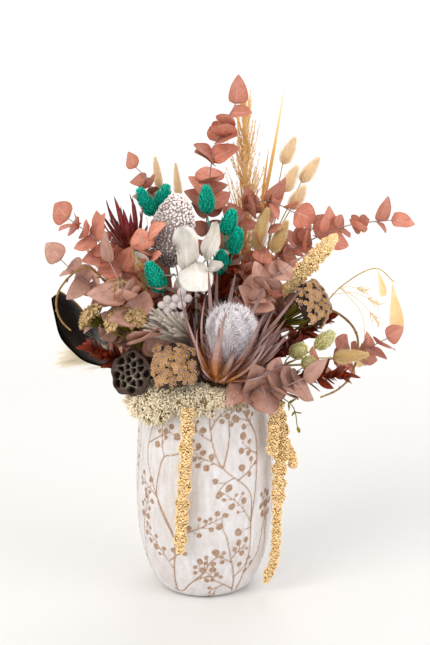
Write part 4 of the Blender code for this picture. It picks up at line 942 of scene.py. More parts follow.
def yarrow(node, centre, facing, wide, count):
    axis = Vector(facing).normalized()
    wide *= mm
    foot = spot(centre) - axis * wide * 0.55
    bm, _, _, fine = startPlant(node, [foot], (2, 2), 8)
    look = random.Random(node)

    def spread(angle, share):
        # the plate's edge wanders, and the florets stand in small tufts
        radius = wide * 0.5 * share * (1 + 0.06 * math.sin(3 * angle + 1) + 0.04 * math.sin(7 * angle))
        rise = 0.62 + 0.40 * math.sqrt(max(0, 1 - share ** 2)) - 0.06 * share ** 4
        rise += 0.035 * noise.noise(onCircle(angle).xzy * share * 7)
        out = around(axis, angle)
        return foot + axis * ((wide * 0.61 + 2 * mm) * rise - 2 * mm) + out * radius, out

    def under(u, v):
        share, drop = yarrowUnder[round(v * 6)]
        return spread(fullTurn * u, share)[0] - axis * drop * mm

    addSkin(bm, 24, 6, under, 2, 0.2)
    tufts = round(count / 6)
    low, _ = pointAlong(fine, 0.80)
    for i in range(tufts):
        share = min(0.97, math.sqrt((i + 0.5) / tufts) + look.uniform(-0.04, 0.04))
        at, out = spread(i * goldenTurn + look.uniform(-0.25, 0.25), share)
        heading = (axis + out * 0.85 * share ** 1.5).normalized()
        at = at + heading * look.uniform(-6, 1.5) * mm
        tilt, warmth = turnTo(heading, up), look.uniform(-0.25, 0.25)
        for j in range(5):
            # a tuft is a small dome of florets
            off = 6.6 * mm * math.sqrt(j / 5) * look.uniform(0.85, 1.15)
            rim = tilt @ onCircle(j * goldenTurn)
            lean = (heading + rim * off / (9 * mm)).normalized()
            size = look.uniform(5.4, 7.6) * mm
            stamp(bm, floret, at + rim * off - lean * (5 * mm + off * 0.25), lean, out, size, 7.4 * mm,
                  clamp(0.5 + warmth + look.uniform(-0.3, 0.3)))
        stalk = [low, low.lerp(at, 0.5) + out * 5 * mm * share, at - heading * 3 * mm]
        addTube(bm, smoothPath(stalk, 3), (0.9, 0.7), 5, 1, look.random())
        for j in range(4):
            rim = tilt @ onCircle(1.6 * j)
            addTube(bm, [stalk[1], stalk[1].lerp(at, 0.6) + rim * mm, at + (rim * 3.5 - heading * 3) * mm],
                    (0.5, 0.4), 3, 1, look.random())
    finishPiece(bm, node, "yarrow", ("yarrowFloret", "oliveStalk", "darkCore"))


for plate in yarrows:
    yarrow(*plate)
print("yarrow")


# Brunia: pitted silver balls above a broom of blunt branchlets

silverBroom = {"joint": (-14, -46, 304), "seed": 3, "fingers": 60, "tips": (-48, -64, 336), "tops": (
    # place, balls round it, their radius
    ((-25, -66, 363), 5, 5.0), ((-41, -64, 355), 5, 4.8),
    ((-31, -63, 343), 3, 4.8), ((-54, -60, 344), 3, 4.0))}


def makeBall(name, subdivisions, radius, shapeIt):
    # shapeIt may move a point, and gives its "along" mark
    bm = newShape()
    bmesh.ops.create_icosphere(bm, subdivisions=subdivisions, radius=radius)
    for vert in bm.verts:
        vert[bm.verts.layers.float["along"]] = shapeIt(vert)
    return asMesh(bm, name)


def pitted(vert):
    near = noise.voronoi(vert.co * 5.2)[0][0]
    vert.co *= 1 - 0.055 * max(0, 1 - near / 0.30)
    return min(1, near / 0.32)


def fingerRadius(share):
    # a blunt branchlet, a little swollen at its tip
    return (1.6 + 0.5 * share) * mm * (0.75 if share > 0.99 else 1)


def brunia():
    joint = spot(silverBroom["joint"])
    bm, *_ = startPlant("brunia", [joint], (2, 2), 8)
    draw, look = random.Random(silverBroom["seed"]), random.Random(31)
    bud = makeBall("silver_bud", 3, 1, pitted)
    for top, buds, size in silverBroom["tops"]:
        top = spot(top)
        mid = joint.lerp(top, 0.5) + up * 4 * mm
        addTube(bm, smoothPath([joint - up * 2 * mm, mid, top], 4), (1.7, 1.4), 6, 1)
        for i in range(buds):
            away = onCircle(fullTurn * i / (buds - 1), -0.3 - 0.3 * draw.random()).normalized()
            radius = size * draw.uniform(0.92, 1.08) * mm
            at = top + away * size * mm * (1.48 if i else 0)
            stamp(bm, bud, at, away, up, radius, radius, look.random())
            if i:
                twig = smoothPath([mid, at - away * radius * 1.4 - up * 3 * mm, at], 3)
                addTube(bm, twig, (1.1, 1.1), 5, 1, 0.4)
    for i in range(silverBroom["fingers"]):
        share, angle = math.sqrt((i + 0.5) / silverBroom["fingers"]), i * goldenTurn
        tip = spot(silverBroom["tips"]) + spot((24 * share * math.cos(angle), look.uniform(-14, 8),
                                                20 * share * math.sin(angle)))
        knee = joint.lerp(tip, 0.45) + spot((look.uniform(-3, 3), look.uniform(-6, 2), look.uniform(0, 9)))
        addTube(bm, smoothPath([joint, knee, tip], 5), fingerRadius, 7, 1, look.random())
    finishPiece(bm, "brunia", "silver_bud", ("silverBud", "silverTwig"))


brunia()
print("brunia")


# Lotus pod: a lumpy cone whose flat face is eaten by deep pits

podForm = {"centre": (-83, -68, 277), "facing": (-0.42, -0.86, 0.28), "pits": 20, "depth": 9.0,
           "faceRows": 56,
           # radius and depth behind the face
           "profile": ((2.4, 36), (6, 31), (12, 24), (18, 16), (22.4, 9), (25, 4), (25.6, 1.2), (24.4, 0))}


def lotusPod():
    centre, axis = spot(podForm["centre"]), Vector(podForm["facing"]).normalized()
    bm, *_ = startPlant("lotus_pod", [centre - axis * 34 * mm], (2.5, 2.5), 8, 2)
    look = random.Random(17)
    turn = turnTo(axis, up)
    pits = []
    for i in range(podForm["pits"]):
        far = 20 * math.sqrt((i + 0.35) / podForm["pits"])
        at = onCircle(i * goldenTurn + look.uniform(-0.10, 0.10)) * far
        pits.append((at.xz, look.uniform(3.8, 4.6)))
    sides = smoothPath([Vector((*p, 0)) for p in podForm["profile"]], 3)
    rows = len(sides) + podForm["faceRows"]

    def pitDepth(flat):
        # each pit is a rounded well, and a thin wall stands where two of them are equally near
        nearest, second = sorted((flat - at).length / size for at, size in pits)[:2]
        return clamp(min((1.18 - nearest) / 0.3, ((second - nearest) * 2.1 - 0.35) / 0.75))

    def place(u, v):
        row, angle = round(v * rows), fullTurn * u
        lobe = 1.0 + 0.045 * math.sin(5 * angle) + 0.02 * math.sin(11 * angle + 2)
        if row < len(sides):
            depth = sides[row].y
            radius = sides[row].x * lobe * (1 + 0.025 * math.sin(22 * angle) * min(1, depth / 20)) * (row > 0)
        else:
            share = (rows - row) / (podForm["faceRows"] + 1)
            radius = 24.0 * share * lobe
            dome = 2.0 * (1 - share ** 2) + 0.9 * noise.noise(onCircle(angle).xzy * share * 3)
            depth = podForm["depth"] * pitDepth((onCircle(angle) * radius).xz) - dome
        return centre - axis * depth * mm + turn @ onCircle(angle) * radius * mm

    addSkin(bm, 132, rows, place)
    for face in bm.faces:
        middle = turn.transposed() @ (face.calc_center_median() - centre) / mm
        if middle.y > -12 and middle.xz.length < 23.5 and pitDepth(middle.xz) > 0.55:
            face.material_index = 1
    finishPiece(bm, "lotus_pod", "lotus_pod", ("podSkin", "podPit", "oliveStalk"), 70)


lotusPod()
print("lotus pod")


# Papery fans: green stalks that end in ruffled tan cups

paperFans = {"joint": (-72, -36, 298), "stalks": 54, "heads": (
    # base, tip, half width
    ((-94, -40, 348), (-108, -45, 376), 17), ((-114, -34, 322), (-136, -38, 342), 17),
    ((-86, -52, 322), (-100, -62, 344), 18), ((-76, -52, 318), (-78, -74, 346), 13))}


def flowerFans():
    joint = spot(paperFans["joint"])
    bm, *_ = startPlant("tan_flower_fans", [joint], (1.6, 1.6), 8)
    look = random.Random(57)
    for base, tip, wide in paperFans["heads"]:
        base, tip = spot(base), spot(tip)
        run = (tip - base).normalized()
        addTube(bm, [joint - up * mm, joint.lerp(base, 0.5) + up * 2 * mm, base], (1.5, 1.5), 6, 1)
        for i in range(paperFans["stalks"]):
            share = math.sqrt((i + 0.5) / paperFans["stalks"])
            out = around(run, i * goldenTurn)
            at = tip + out * wide * mm * share - run * (7 * share ** 2 + look.uniform(0, 2.5)) * mm
            addTube(bm, [base - run * mm, base.lerp(at, 0.5) - out * mm * share, at], (0.55, 0.4), 3, 1,
                    look.random())
            for bloom in range(2):
                lean = run + out * 0.8 * share + Vector([look.uniform(-1, 1) for _ in range(3)]) * 0.4
                size = look.uniform(5.4, 7.4) * mm
                foot = at - lean.normalized() * (4 + 2.5 * bloom) * mm
                stamp(bm, paperCup, foot, lean, out, size, 5.6 * mm, look.random())
    finishPiece(bm, "tan_flower_fans", "tan_flower", ("tanFloret", "oliveStalk"))


flowerFans()
print("papery fans")


# Plumes: fine strands, each feathered with hair

plumes = (
    # node, stem points, strands, length, spread, seed, slot, finish, hairs on a strand, their length
    # and width, and how many fine strands there are beside those of the CAD frame
    ("reed_plume", ((44, 30, 380), (48, 42, 470), (46, 50, 562)), 26, 70, 0.40, 31,
     "straw", "goldReed", 20, 8, 0.65, 170),
    ("pampas_left", ((-70, 24, 268), (-112, 28, 276), (-152, 32, 270)), 16, 62, 0.26, 32,
     "cream_fluff", "palePampas", 70, 22, 0.32, 26),
    ("pampas_back", ((20, 62, 340), (34, 92, 400), (50, 112, 452)), 16, 60, 0.36, 46,
     "cream_fluff", "palePampas", 60, 15, 0.40, 26),
)


def plume(node, points, strands, length, spread, seed, slot, finish, hairs, hairLong, hairWide, more):
    bm, shape, path, _ = startPlant(node, spots(points), (1.6, 0.8), finish=0)
    draw, look = random.Random(seed), random.Random(seed + 100)
    lines = []
    for i in range(strands):
        climb = i / strands
        at, run = pointAlong(path, 0.45 + 0.53 * climb)
        side = around(run, i * goldenTurn)
        heading = leaning(run, side, spread * (1.15 - 0.6 * climb) * draw.uniform(0.7, 1.2))
        reach = length * mm * (1.1 - 0.5 * climb) * draw.uniform(0.8, 1.15)
        tips = [at + heading * reach * shrink for shrink in (1, 0.75, 0.5)]
        lines += [(at, tip, side) for tip in tips if isTip(shape, tip)][:1]
    print(" ", node, len(lines), "strands")
    for _ in range(more):
        climb = look.random()
        at, run = pointAlong(path, 0.42 + 0.56 * climb)
        side = around(run, look.uniform(0, fullTurn))
        heading = leaning(run, side, spread * (2.3 - 1.6 * climb) * look.uniform(0.1, 1.0))
        lines.append((at, at + heading * length * mm * (1.1 - 0.5 * climb) * look.uniform(0.5, 1.0), side))
    for at, tip, side in lines:
        strand = smoothPath([at, at.lerp(tip, 0.5) + side * 0.05 * (tip - at).length, tip], 3)
        addTube(bm, strand, (0.42, 0.22), 3)
        for j in range(hairs):
            root, along = pointAlong(strand, 0.04 + 0.95 * j / hairs)
            out = Matrix.Rotation(look.uniform(0, 6.28), 3, along) @ side
            grownTo = hairLong * mm * look.uniform(0.6, 1.15) * (1.1 - 0.4 * j / hairs)
            # every third hair of the reed holds a seed
            seeded = finish == "goldReed" and j % 3 == 0
            stamp(bm, seedScale if seeded else hair, root, along + out * look.uniform(0.18, 0.5), out,
                  hairWide * (2 if seeded else 1) * mm, grownTo, look.random())
    finishPiece(bm, node, slot, (finish,))


for feathers in plumes:
    plume(*feathers)
print("plumes")


# Ropes of tiny dry beads

ropeSets = (
    # node, then each rope's points, radius and beads
    ("amaranth_front", (((-18, -93, 244), (-20, -93, 200), (-24, -93, 140), (-28, -93, 74)), 7.6, 1600),),
    ("amaranth_right",
     (((82, -50, 240), (90, -48, 195), (86, -47, 150), (85, -46, 112)), 8.4, 1150),
     (((85, -46, 122), (84, -44, 80), (82, -42, 45), (72, -40, 15)), 5.6, 700),
     (((82, -50, 236), (79, -58, 205), (78, -59, 178)), 7, 500),
     (((89, -47, 190), (100, -44, 176), (103, -44, 158)), 5.4, 330)),
)
milletHead = {"points": ((90, 2, 350), (112, 3, 380), (133, 2, 402), (152, 2, 424)), "widest": 9, "at": 0.55,
              "beads": 1150}
bead = makeBall("bead", 1, 0.5, lambda vert: vert.co.y + 0.5)


def addBeads(bm, path, radiusAt, count, size, look):
    # a slim core under a spiral of beads that stand in lumps; the core's low tone paints it darker, as
    # painted shade
    def core(u, v):
        at, run = pointAlong(path, min(v, 0.999))
        return at + around(run, fullTurn * u) * radiusAt(v) * 0.62 * (v not in (0, 1))

    addSkin(bm, 8, 40, core, 0, 0.1)
    for i in range(count):
        share = (i + 0.5) / count
        at, run = pointAlong(path, share)
        out = around(run, i * goldenTurn)
        lump = noise.noise(at * 140 + out * 1.6)
        at = at + out * radiusAt(share) * (0.90 + 0.42 * lump) + run * look.uniform(-1, 1) * mm
        # beads out on the lumps are painted lighter and those in the hollows darker: painted light and shade
        stamp(bm, bead, at, out, up, size * look.uniform(0.7, 1.25) * mm, size * look.uniform(0.8, 1.3) * mm,
              clamp(0.5 + 0.9 * lump + look.uniform(-0.2, 0.2)))


def amaranth(node, *ropes):
    look = random.Random(node)
    first, second = spots(ropes[0][0][:2])
    over = Vector((first.x * 0.80, first.y * 0.80, 251 * mm))
    bm, *_ = startPlant(node, [over, first, first.lerp(second, 0.3)], (1.2, 1.2))
    for points, wide, count in ropes:
        def radiusAt(share):
            swell = 0.86 + 0.16 * math.sin(fullTurn * share * len(points) * 2)
            return wide * mm * swell * min(1, 14 * share + 0.75, 12 * (1 - share) + 0.6)

        addBeads(bm, smoothPath(spots(points), 4), radiusAt, count, 2.5, look)
    finishPiece(bm, node, "gold_bead", ("goldBead", "oliveStalk"), 0)


def millet():
    points = spots(milletHead["points"])
    bm, *_ = startPlant("millet", [points[0].lerp(points[1], 0.16)], (1.5, 1.5))

    def radiusAt(share):
        swell = 1.06 + 0.14 * math.sin(60 * share)
        return eggRadius(milletHead["widest"] * mm, milletHead["at"], share) * swell

    addBeads(bm, smoothPath(points, 4), radiusAt, milletHead["beads"], 2.9, random.Random(91))
    finishPiece(bm, "millet", "gold_bead", ("paleBead", "grassStem"), 0)


for ropeSet in ropeSets:
    amaranth(*ropeSet)
millet()
print("ropes and millet")


# Bleached leaves: broad, stiff and curled over at their edges

curledLeaves = {"joint": (-10, -28, 384), "leaves": (
    # foot, tip, facing, width, curl of the sides
    ((-20, -36, 390), (-25, -50, 441), (-0.2, -1, 0.1), 36, 0.55),
    ((0, -34, 398), (15, -42, 446), (-0.3, -1, 0.2), 27, 0.75),
    ((-10, -46, 401), (-2, -68, 370), (0, -1, 0.5), 42, 0.45),
    ((-12, -36, 388), (-30, -56, 372), (-0.2, -1, 0.4), 22, 0.8),
    ((2, -38, 392), (22, -52, 398), (0.2, -1, 0.5), 20, 0.9),
    ((-62, -30, 380), (-78, -32, 410), (0.3, -1, 0.3), 18, 0.8))}
broadLeaf = {"root": 0.5, "point": 0.50, "stalk": 0.04}


def bleachedLeaves():
    joint = spot(curledLeaves["joint"])
    bm, *_ = startPlant("bleached_leaves", [joint], (1.5, 1.5), 8, 0)
    look = random.Random(41)
    outline = outlineOf(broadLeaf)
    for foot, tip, facing, wide, curl in curledLeaves["leaves"]:
        foot, run = spot(foot), spot(tip) - spot(foot)
        length, turn = run.length, turnTo(run, Vector(facing))
        phase, bend = look.uniform(0, 6), look.uniform(-0.20, -0.08)
        stalk = [joint - up * mm, joint.lerp(foot, 0.5), foot + run * 0.05]
        addTube(bm, smoothPath(stalk, 3), (1.3, 1.0))

        def place(u, v):
            side = math.cos(fullTurn * u)
            half = wide / 2 * mm * outline(v)
            # the blade rolls forward towards its edges, more on one side, and its edge waves
            roll = 1.6 * curl * abs(side) * (1.25 if side > 0 else 0.8)
            x = half * math.copysign(math.sin(roll) / max(0.3, curl * 1.6), side)
            z = half * (1 - math.cos(roll)) * 0.9 + bend * length * math.sin(math.pi * v)
            z += 0.13 * length * side * side * math.sin(9 * v + phase + side)
            z += 0.035 * length * math.sin(5 * side + 6 * v)
            z += 0.55 * mm * math.sin(fullTurn * u) * (v not in (0, 1))
            return foot + turn @ Vector((x, length * v, z))

        addSkin(bm, 28, 22, place, 0, look.random())
    finishPiece(bm, "bleached_leaves", "bleached_leaf", ("bleachedSkin",), 0)


bleachedLeaves()
print("bleached leaves")


# Willow, black spathe, papery branch and grass blades

willows = (
    # node, points, thickness at the foot and at the tip
    ("willow_right", ((112, -6, 318), (140, -4, 338), (172, -6, 318), (178, -14, 288), (162, -34, 256),
                      (126, -60, 244)), 3.6, 2.2),
    ("willow_left", ((-108, -20, 366), (-136, -22, 390), (-166, -22, 364), (-168, -22, 334),
                     (-150, -28, 314)), 3.2, 2.0),
)
spathe = {"base": (-98, -10, 272), "tip": (-174, 18, 352), "facing": (0.45, -0.75, 0.45), "wide": 52,
          "wall": 2.6 * mm, "arc": 74, "bow": 0.16, "flat": 0.62, "rows": 48}
paperSet = {"points": ((124, 18, 318), (160, 26, 358), (200, 30, 380), (224, 28, 364)),
            # pods: place on the stem, hang, length, width
            "pods": ((0.985, (0.14, -0.02, -1), 64, 17), (0.90, (0.25, 0, -1), 34, 9)),
            "petal": ((190, 20, 290), (-0.25, 0, -1), 30, 15),
            # side stalks, and how many pale bracts each ends in
            "stalks": ((((160, 26, 358), (186, 24, 326), (190, 20, 290)), 0),
                       (((150, 24, 350), (178, 22, 352), (206, 20, 338)), 9),
                       (((160, 26, 358), (186, 20, 340), (206, 16, 316)), 9),
                       (((150, 24, 350), (166, 20, 360), (190, 14, 356)), 9))}
roundPod = {"root": 0.5, "point": 0.55, "stalk": 0.05}
tornPod = {"root": 1.1, "point": 0.25, "stalk": 0.05}
grassLeaf = {"root": 0.22, "point": 0.75, "stalk": 0.0}
bladeSet = {"stem": (66, 62, 440), "blades": (((94, 74, 590), 4.6, 0.03), ((76, 66, 520), 3.6, -0.03))}


def willow(node, points, thick, tipThick):
    path, fine = findStem(cadShape(node), spots(points), 3)
    bm = newShape()

    def radiusAt(share):
        knot = max(0, math.sin(26 * math.pi * share)) ** 12
        return (thick + (tipThick - thick) * share) / 2 * mm * (1 + 0.32 * knot)

    addTube(bm, smoothPath(fine[::3], 8), radiusAt, 8)
    for share in (0.45, 0.6, 0.75, 0.88):
        at, run = pointAlong(path, share)
        heading = (around(run, share * 9) + run * 0.8).normalized()
        addTube(bm, [at, at + heading * 3 * mm, at + heading * 6 * mm], (1.0, 0.5), 6, 0, 0.3)
    finishPiece(bm, node, "willow", ("willowBark",), 0)


def blackSpathe():
    base = spot(spathe["base"])
    _, fine = findStem(cadShape("black_spathe"), [base])
    run = spot(spathe["tip"]) - base
    turn = turnTo(run, Vector(spathe["facing"]))
    rows, wall = spathe["rows"], spathe["wall"]

    def place(u, v):
        row = round(v * rows)
        share = clamp((row - 1) / (rows - 2))
        half = spathe["wide"] * mm / 2 * math.sin(math.pi * (0.06 + 0.88 * share)) ** 0.7
        bow = -spathe["bow"] * run.length * math.sin(math.pi * share)
        if row in (0, rows):
            return base + turn @ Vector((0, run.length * share, bow - half * 0.3))
        arc = math.radians(spathe["arc"]) * (4 * u - 1 if u <= 0.5 else 3 - 4 * u)
        grooves = 0.25 * mm * math.sin(26 * arc) * math.sin(math.pi * share)
        if u > 0.5:
            half = max(0, half - wall)
            grooves -= wall * 0.6
        # the rim opens and closes in a slow wave
        ripple = 0.9 * mm * math.sin(17 * share) * abs(math.sin(arc)) ** 3
        return base + turn @ Vector((half * math.sin(arc) + ripple, run.length * share,
                                     bow - half * spathe["flat"] * math.cos(arc) - grooves))

    bm = newShape()
    addSkin(bm, 56, rows, place)
    across = bm.verts.layers.float["across"]
    for face in bm.faces:
        if min(abs(vert[across]) for vert in face.verts) > 0.975:
            face.material_index = 1
    addTube(bm, fine, (2.5, 2.5), 8)
    finishPiece(bm, "black_spathe", "black_spathe", ("spatheSkin", "spatheRim"), 40)


def paperyBranch():
    bm, _, _, fine = startPlant("papery_branch", spots(paperSet["points"]), (0.9, 0.65))
    look = random.Random(73)
    front = Vector((0, -1, 0.1))
    for share, hang, length, wide in paperSet["pods"]:
        at, _ = pointAlong(fine, share)
        addLeaf(bm, at, Vector(hang), front, length * mm, wide * mm, 0.5, tornPod, look, 0, 0.5, 16, 20)
    at, hang, length, wide = paperSet["petal"]
    addLeaf(bm, spot(at), Vector(hang), front, length * mm, wide * mm, 0.3, roundPod, look, 0, 0.2, 16, 12)
    for points, bracts in paperSet["stalks"]:
        stalk = smoothPath(spots(points), 6)
        addTube(bm, stalk, (0.5, 0.3), 5)
        for i in range(bracts):
            at, run = pointAlong(stalk, 0.72 + 0.03 * i)
            out = around(run, i * goldenTurn)
            addLeaf(bm, at, run + out * 0.7, run - out, 9 * mm, 2.6 * mm, 0.3, grassLeaf, look,
                    columns=6, rows=6)
    finishPiece(bm, "papery_branch", "papery_pod", ("paperSkin", "grassStem"))


def grassBlades():
    end = spot(bladeSet["stem"])
    bm, *_ = startPlant("grass_blades", [end], (1.1, 1.1), 6, 0)
    outline = outlineOf(grassLeaf)
    foot = end - up * 3 * mm
    for tip, wide, bow in bladeSet["blades"]:
        run = spot(tip) - foot
        turn = turnTo(run, Vector((0.2, -1, 0)))

        def place(u, v):
            side = math.cos(fullTurn * u)
            half = wide / 2 * mm * outline(v)
            z = bow * run.length * math.sin(math.pi * v) + 0.5 * half * side * side
            z += 0.35 * mm * math.sin(fullTurn * u) * (v not in (0, 1))
            return foot + turn @ Vector((half * side, run.length * v, z))

        addSkin(bm, 10, 36, place, 1)
    finishPiece(bm, "grass_blades", "straw", ("grassStem", "goldReed"))


for twig in willows:
    willow(*twig)
blackSpathe()
paperyBranch()
grassBlades()
print("willow, spathe, papery branch and blades")


# Moss: a shadowed cushion under a lace of short curling twigs

mosses = (
    # node, slot, finish, tufts, size of a tuft in mm
    ("moss_left", "moss", "mossLace", 900, 5.4),
    ("moss_front", "moss", "mossLace", 840, 4.5),
    ("moss_back", "moss", "mossLace", 520, 5.6),
    ("moss_right", "grey_moss", "greyLace", 420, 5.0),
)
# Middle and half size of a cushion that closes the shadow under the protea
shadowCushion = ((12, -72, 248), (20, 12, 11))


def makeTuft():
    # four short twigs that curl away from one foot
    bm = newShape()
    for i in range(4):
        turn = Matrix.Rotation(i * math.pi / 2 + 0.3, 3, "Y")
        lean, bend = 0.40 + 0.16 * (i % 3), 0.55 - 0.2 * (i % 2)
        points = ((0, 0, 0), (0.10 + bend * 0.2, 0.55, lean * 0.8), (-0.05, 0.92, lean + 0.28))
        addTube(bm, [turn @ Vector(point) for point in points], (120, 110), 3)
    for vert in bm.verts:
        vert[bm.verts.layers.float["along"]] = clamp(vert.co.y)
    return asMesh(bm, "moss_tuft")


tuft = makeTuft()


def mossClump(node, slot, finish, count, size):
    look = random.Random(node)
    bm = newShape()
    bm.from_mesh(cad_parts[node].data)
    if node == "moss_front":
        middle, half = spots(shadowCushion)
        addSkin(bm, 16, 10, lambda u, v: middle + half * Vector((
            math.cos(fullTurn * u) * math.sin(math.pi * v), math.sin(fullTurn * u) * math.sin(math.pi * v),
            -math.cos(math.pi * v))))
    bmesh.ops.triangulate(bm, faces=bm.faces)
    bm.normal_update()
    faces = [([vert.co.copy() for vert in face.verts], face.normal.copy(), face.calc_area())
             for face in bm.faces]
    for face in bm.faces:
        face.material_index = 0
    for vert in bm.verts:
        vert.co -= vert.normal * 1.2 * mm
    for (a, b, c), normal, _ in look.choices(faces, weights=[area for _, _, area in faces], k=count):
        s, t = look.random(), look.random()
        if s + t > 1:
            s, t = 1 - s, 1 - t
        at = a + (b - a) * s + (c - a) * t
        if normal.z < -0.75 or at.xy.length < 62 * mm and at.z < 236 * mm:
            continue
        wobble = Vector((look.uniform(-1, 1), look.uniform(-1, 1), look.uniform(-0.6, 1))) * 0.55
        grownTo = size * look.uniform(0.7, 1.2) * mm
        stamp(bm, tuft, at - normal * 1.6 * mm, normal + wobble, up + wobble, grownTo * 1.1, grownTo,
              look.random())
    finishPiece(bm, node, slot, (finish,))


for clump in mosses:
    mossClump(*clump)
print("moss")


# Vase: wheel-thrown, brushed with white slip and engraved with berry twigs down to the brown clay

vaseForm = {
    # radius and height; the last two points of the lip begin its inside
    "under": ((0, 1.4), (38, 1.4), (42, 0.2)),
    "outside": ((45, 0), (47.5, 0.6), (55, 4), (61.5, 12), (70, 32), (79, 70), (82, 125), (80, 185),
                (75.5, 230)),
    "lip": ((73.4, 238.6), (72.4, 241.4), (70.6, 242), (69, 240.6)),
    "inside": ((69.5, 230), (74, 185), (76, 125), (73, 70), (64, 32), (52, 12), (30, 9.2), (0, 9)),
    "turns": 304, "rise": 1.72, "unroll": 82, "depth": 0.9, "line": 0.95, "plants": 3}
# Stems in mm on the unrolled wall: to the right of the plant's middle, and up
mainStems = (
    ((-46, 9), (-42, 40), (-37, 82), (-60, 128), (-78, 170), (-74, 205), (-60, 236)),
    ((-37, 82), (-60, 128), (-57, 160), (-50, 178), (-38, 182)),
    ((-50, 12), (-36, 10), (-22, 22), (0, 40)),
    ((54, 9), (60, 50), (59, 98), (56, 136), (22, 168), (10, 196), (5, 236)),
    ((59, 98), (66, 140), (70, 178), (68, 204), (52, 232)),
    ((22, 168), (28, 190), (31, 210)),
    ((46, 8), (41, 32), (32, 62), (27, 84)),
    ((44, 12), (30, 20), (14, 28)),
    ((60, 32), (76, 52), (82, 84)),
)
berryTwigs = (
    # foot, angle from upright (positive leans right), length, berries
    ((-42, 40), -42, 62, 13), ((-60, 128), -62, 30, 7), ((-38, 182), 74, 34, 9), ((-50, 178), -8, 34, 8),
    ((-38, 84), 66, 62, 13), ((0, 40), 40, 30, 11), ((-14, 28), 80, 30, 6), ((-76, 190), 62, 40, 9),
    ((-60, 236), 20, 14, 3), ((22, 168), -68, 40, 11), ((9, 200), -50, 30, 8), ((8, 214), 44, 28, 8),
    ((31, 206), 12, 34, 9), ((59, 98), -42, 56, 14), ((40, 152), 58, 24, 6), ((36, 156), -128, 26, 5),
    ((70, 178), -52, 30, 7), ((68, 204), -34, 36, 10), ((60, 218), -78, 30, 7), ((27, 84), -14, 26, 8),
    ((34, 56), 52, 24, 6), ((36, 50), -60, 26, 6), ((41, 30), 46, 24, 5), ((14, 28), -52, 28, 7),
    ((26, 20), -118, 24, 4), ((82, 84), 16, 40, 10), ((59, 92), -100, 10, 2), ((-46, 52), 40, 30, 5),
)


def offHand(look):
    return Vector((look.uniform(-1, 1), look.uniform(-1, 1), 0))


def drawLine(marks, path, start, end):
    for i in range(len(path) - 1):
        steps = max(1, round((path[i + 1] - path[i]).length / 0.7))
        for j in range(steps):
            share = (i + j / steps) / (len(path) - 1)
            marks.append((path[i].lerp(path[i + 1], j / steps), start + (end - start) * share))


def drawTwig(marks, foot, angle, length, berries, look):
    heading = onCircle(math.radians(90 - angle)).xzy
    side = Vector((heading.y, -heading.x, 0))
    foot = Vector((*foot, 0))
    sag = look.uniform(-0.12, 0.12) * length
    path = smoothPath([foot, foot + heading * length * 0.5 + side * sag, foot + heading * length], 6)
    drawLine(marks, path, 0.85, 0.6)
    for i in range(berries):
        last = i == berries - 1
        at, run = pointAlong(path, min(0.30 + 0.70 * i / (berries - 1), 0.999))
        out = side * (1 if i % 2 else -1) * look.uniform(0.5, 1.1) + run * look.uniform(0.35, 0.9)
        end = at + (run if last else out).normalized() * look.uniform(6, 12.5) * (0.6 if last else 1)
        size = look.uniform(2.3, 4.6)
        # a berry that would run into a mark drawn before is left out
        if all((end - other).length > size + radius + 0.9 for other, radius in marks if radius > 1.2):
            drawLine(marks, [at, at.lerp(end, 0.5) + run * 1.2, end], 0.6, 0.5)
            # a scraped berry is a lumpy oval: a few round cuts that overlap
            marks += [(end + offHand(look) * 0.34 * size, size * look.uniform(0.62, 0.86)) for _ in range(4)]


def engraving():
    # every cut as its place on the wall and its radius; each plant differs in its draws and its slant
    marks = []
    look = random.Random(64)
    pitch = fullTurn * vaseForm["unroll"] / vaseForm["plants"]
    for plant in range(vaseForm["plants"]):
        flat = []
        for stem in mainStems:
            points = [Vector((*p, 0)) + offHand(look) * 2.5 * (plant > 0) for p in stem]
            drawLine(flat, smoothPath(points, 6), vaseForm["line"], 0.8)
        for foot, angle, length, berries in berryTwigs:
            drawTwig(flat, foot, angle + look.uniform(-8, 8) * (plant > 0), length, berries, look)
        mirror = -1 if plant == 1 else 1
        marks += [(Vector((at.x * mirror + pitch * plant, at.y, 0)), size) for at, size in flat]
    return marks


def vaseWall():
    # the outline as radius and height, smooth on the outside and rounded over the lip
    rise = vaseForm["rise"] * mm
    form = {name: [Vector((r, 0, z)) * mm for r, z in vaseForm[name]]
            for name in ("under", "outside", "lip", "inside")}
    outside = smoothPath([*form["outside"], *form["lip"][:2]], 12)
    wall = [outside[0]]
    for point in outside[1:]:
        while (point - wall[-1]).length > rise:
            wall.append(wall[-1] + (point - wall[-1]).normalized() * rise)
    return form["under"], wall, [*form["lip"][1:], *form["inside"]]


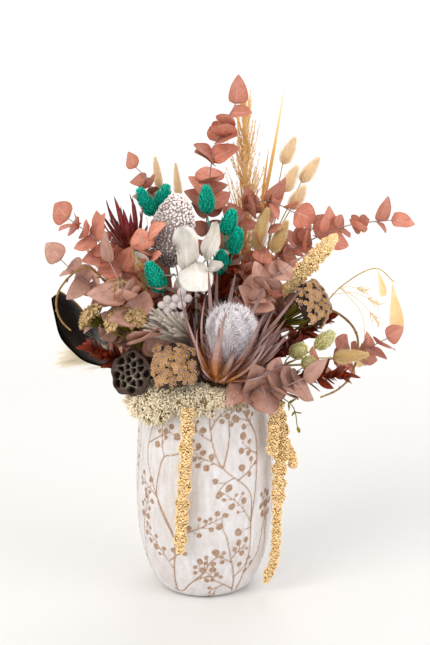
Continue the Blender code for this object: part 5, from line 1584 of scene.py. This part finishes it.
def makeVase():
    under, wall, inner = vaseWall()
    bm = newShape()
    carve = bm.verts.layers.float.new("carve")
    points = [bm.verts.new(p) for p in (*under, *wall, *inner)]
    edges = [bm.edges.new(pair) for pair in zip(points, points[1:])]
    bmesh.ops.spin(bm, geom=[*points, *edges], cent=(0, 0, 0), axis=(0, 0, 1), angle=fullTurn,
                   steps=vaseForm["turns"], use_merge=True)
    bmesh.ops.remove_doubles(bm, verts=bm.verts, dist=1e-6)
    bmesh.ops.recalc_face_normals(bm, faces=bm.faces)

    def onWall(at):
        z = min(max(at.y, 1), 240) * mm
        low, high = next((pair for pair in zip(wall, wall[1:]) if pair[1].z >= z), wall[-2:])
        radius = low.x + (high.x - low.x) * (z - low.z) / max(1e-9, high.z - low.z)
        flat = onCircle(at.x / vaseForm["unroll"] - math.pi / 2) * radius
        return Vector((flat.x, flat.z, z))

    marks = [(onWall(at), size * mm) for at, size in engraving()]
    cuts = KDTree(len(marks))
    for i, (at, _) in enumerate(marks):
        cuts.insert(at, i)
    cuts.balance()
    moves = []
    for vert in bm.verts:
        vert[carve] = -1
        x, y, z = vert.co
        inside = z > 8 * mm and vert.normal.xy.dot(vert.co.xy) < 0
        if inside or z < 0.3 * mm or z > 240.5 * mm or vert.co.xy.length < 44 * mm:
            continue
        near = cuts.find_range(vert.co, 5.5 * mm)
        depth = max((marks[i][1] - far for _, i, far in near), default=-1 * mm) / mm
        vert[carve] = max(-1, depth)
        # throwing rings and the hand's unevenness, then the cuts
        throw = 0.14 * math.sin(z / mm * 0.9 + 0.6 * math.atan2(y, x))
        uneven = 0.45 * noise.noise(vert.co * 22)
        moves.append((vert, (throw + uneven - vaseForm["depth"] * clamp((depth + 0.35) / 0.9)) * mm))
    for vert, move in moves:
        vert.co += Vector((vert.co.x, vert.co.y, 0)).normalized() * move
    print("  cuts", len(marks), "points", len(bm.verts))
    finishPiece(bm, "vase", "glazed_clay", ("slipClay",), 60)


makeVase()
print("vase")

# The foam keeps its CAD shape and gets a crumbly brown finish
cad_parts["dry_foam"].material_slots[0].material = finishes["dryFoam"]
print("foam")
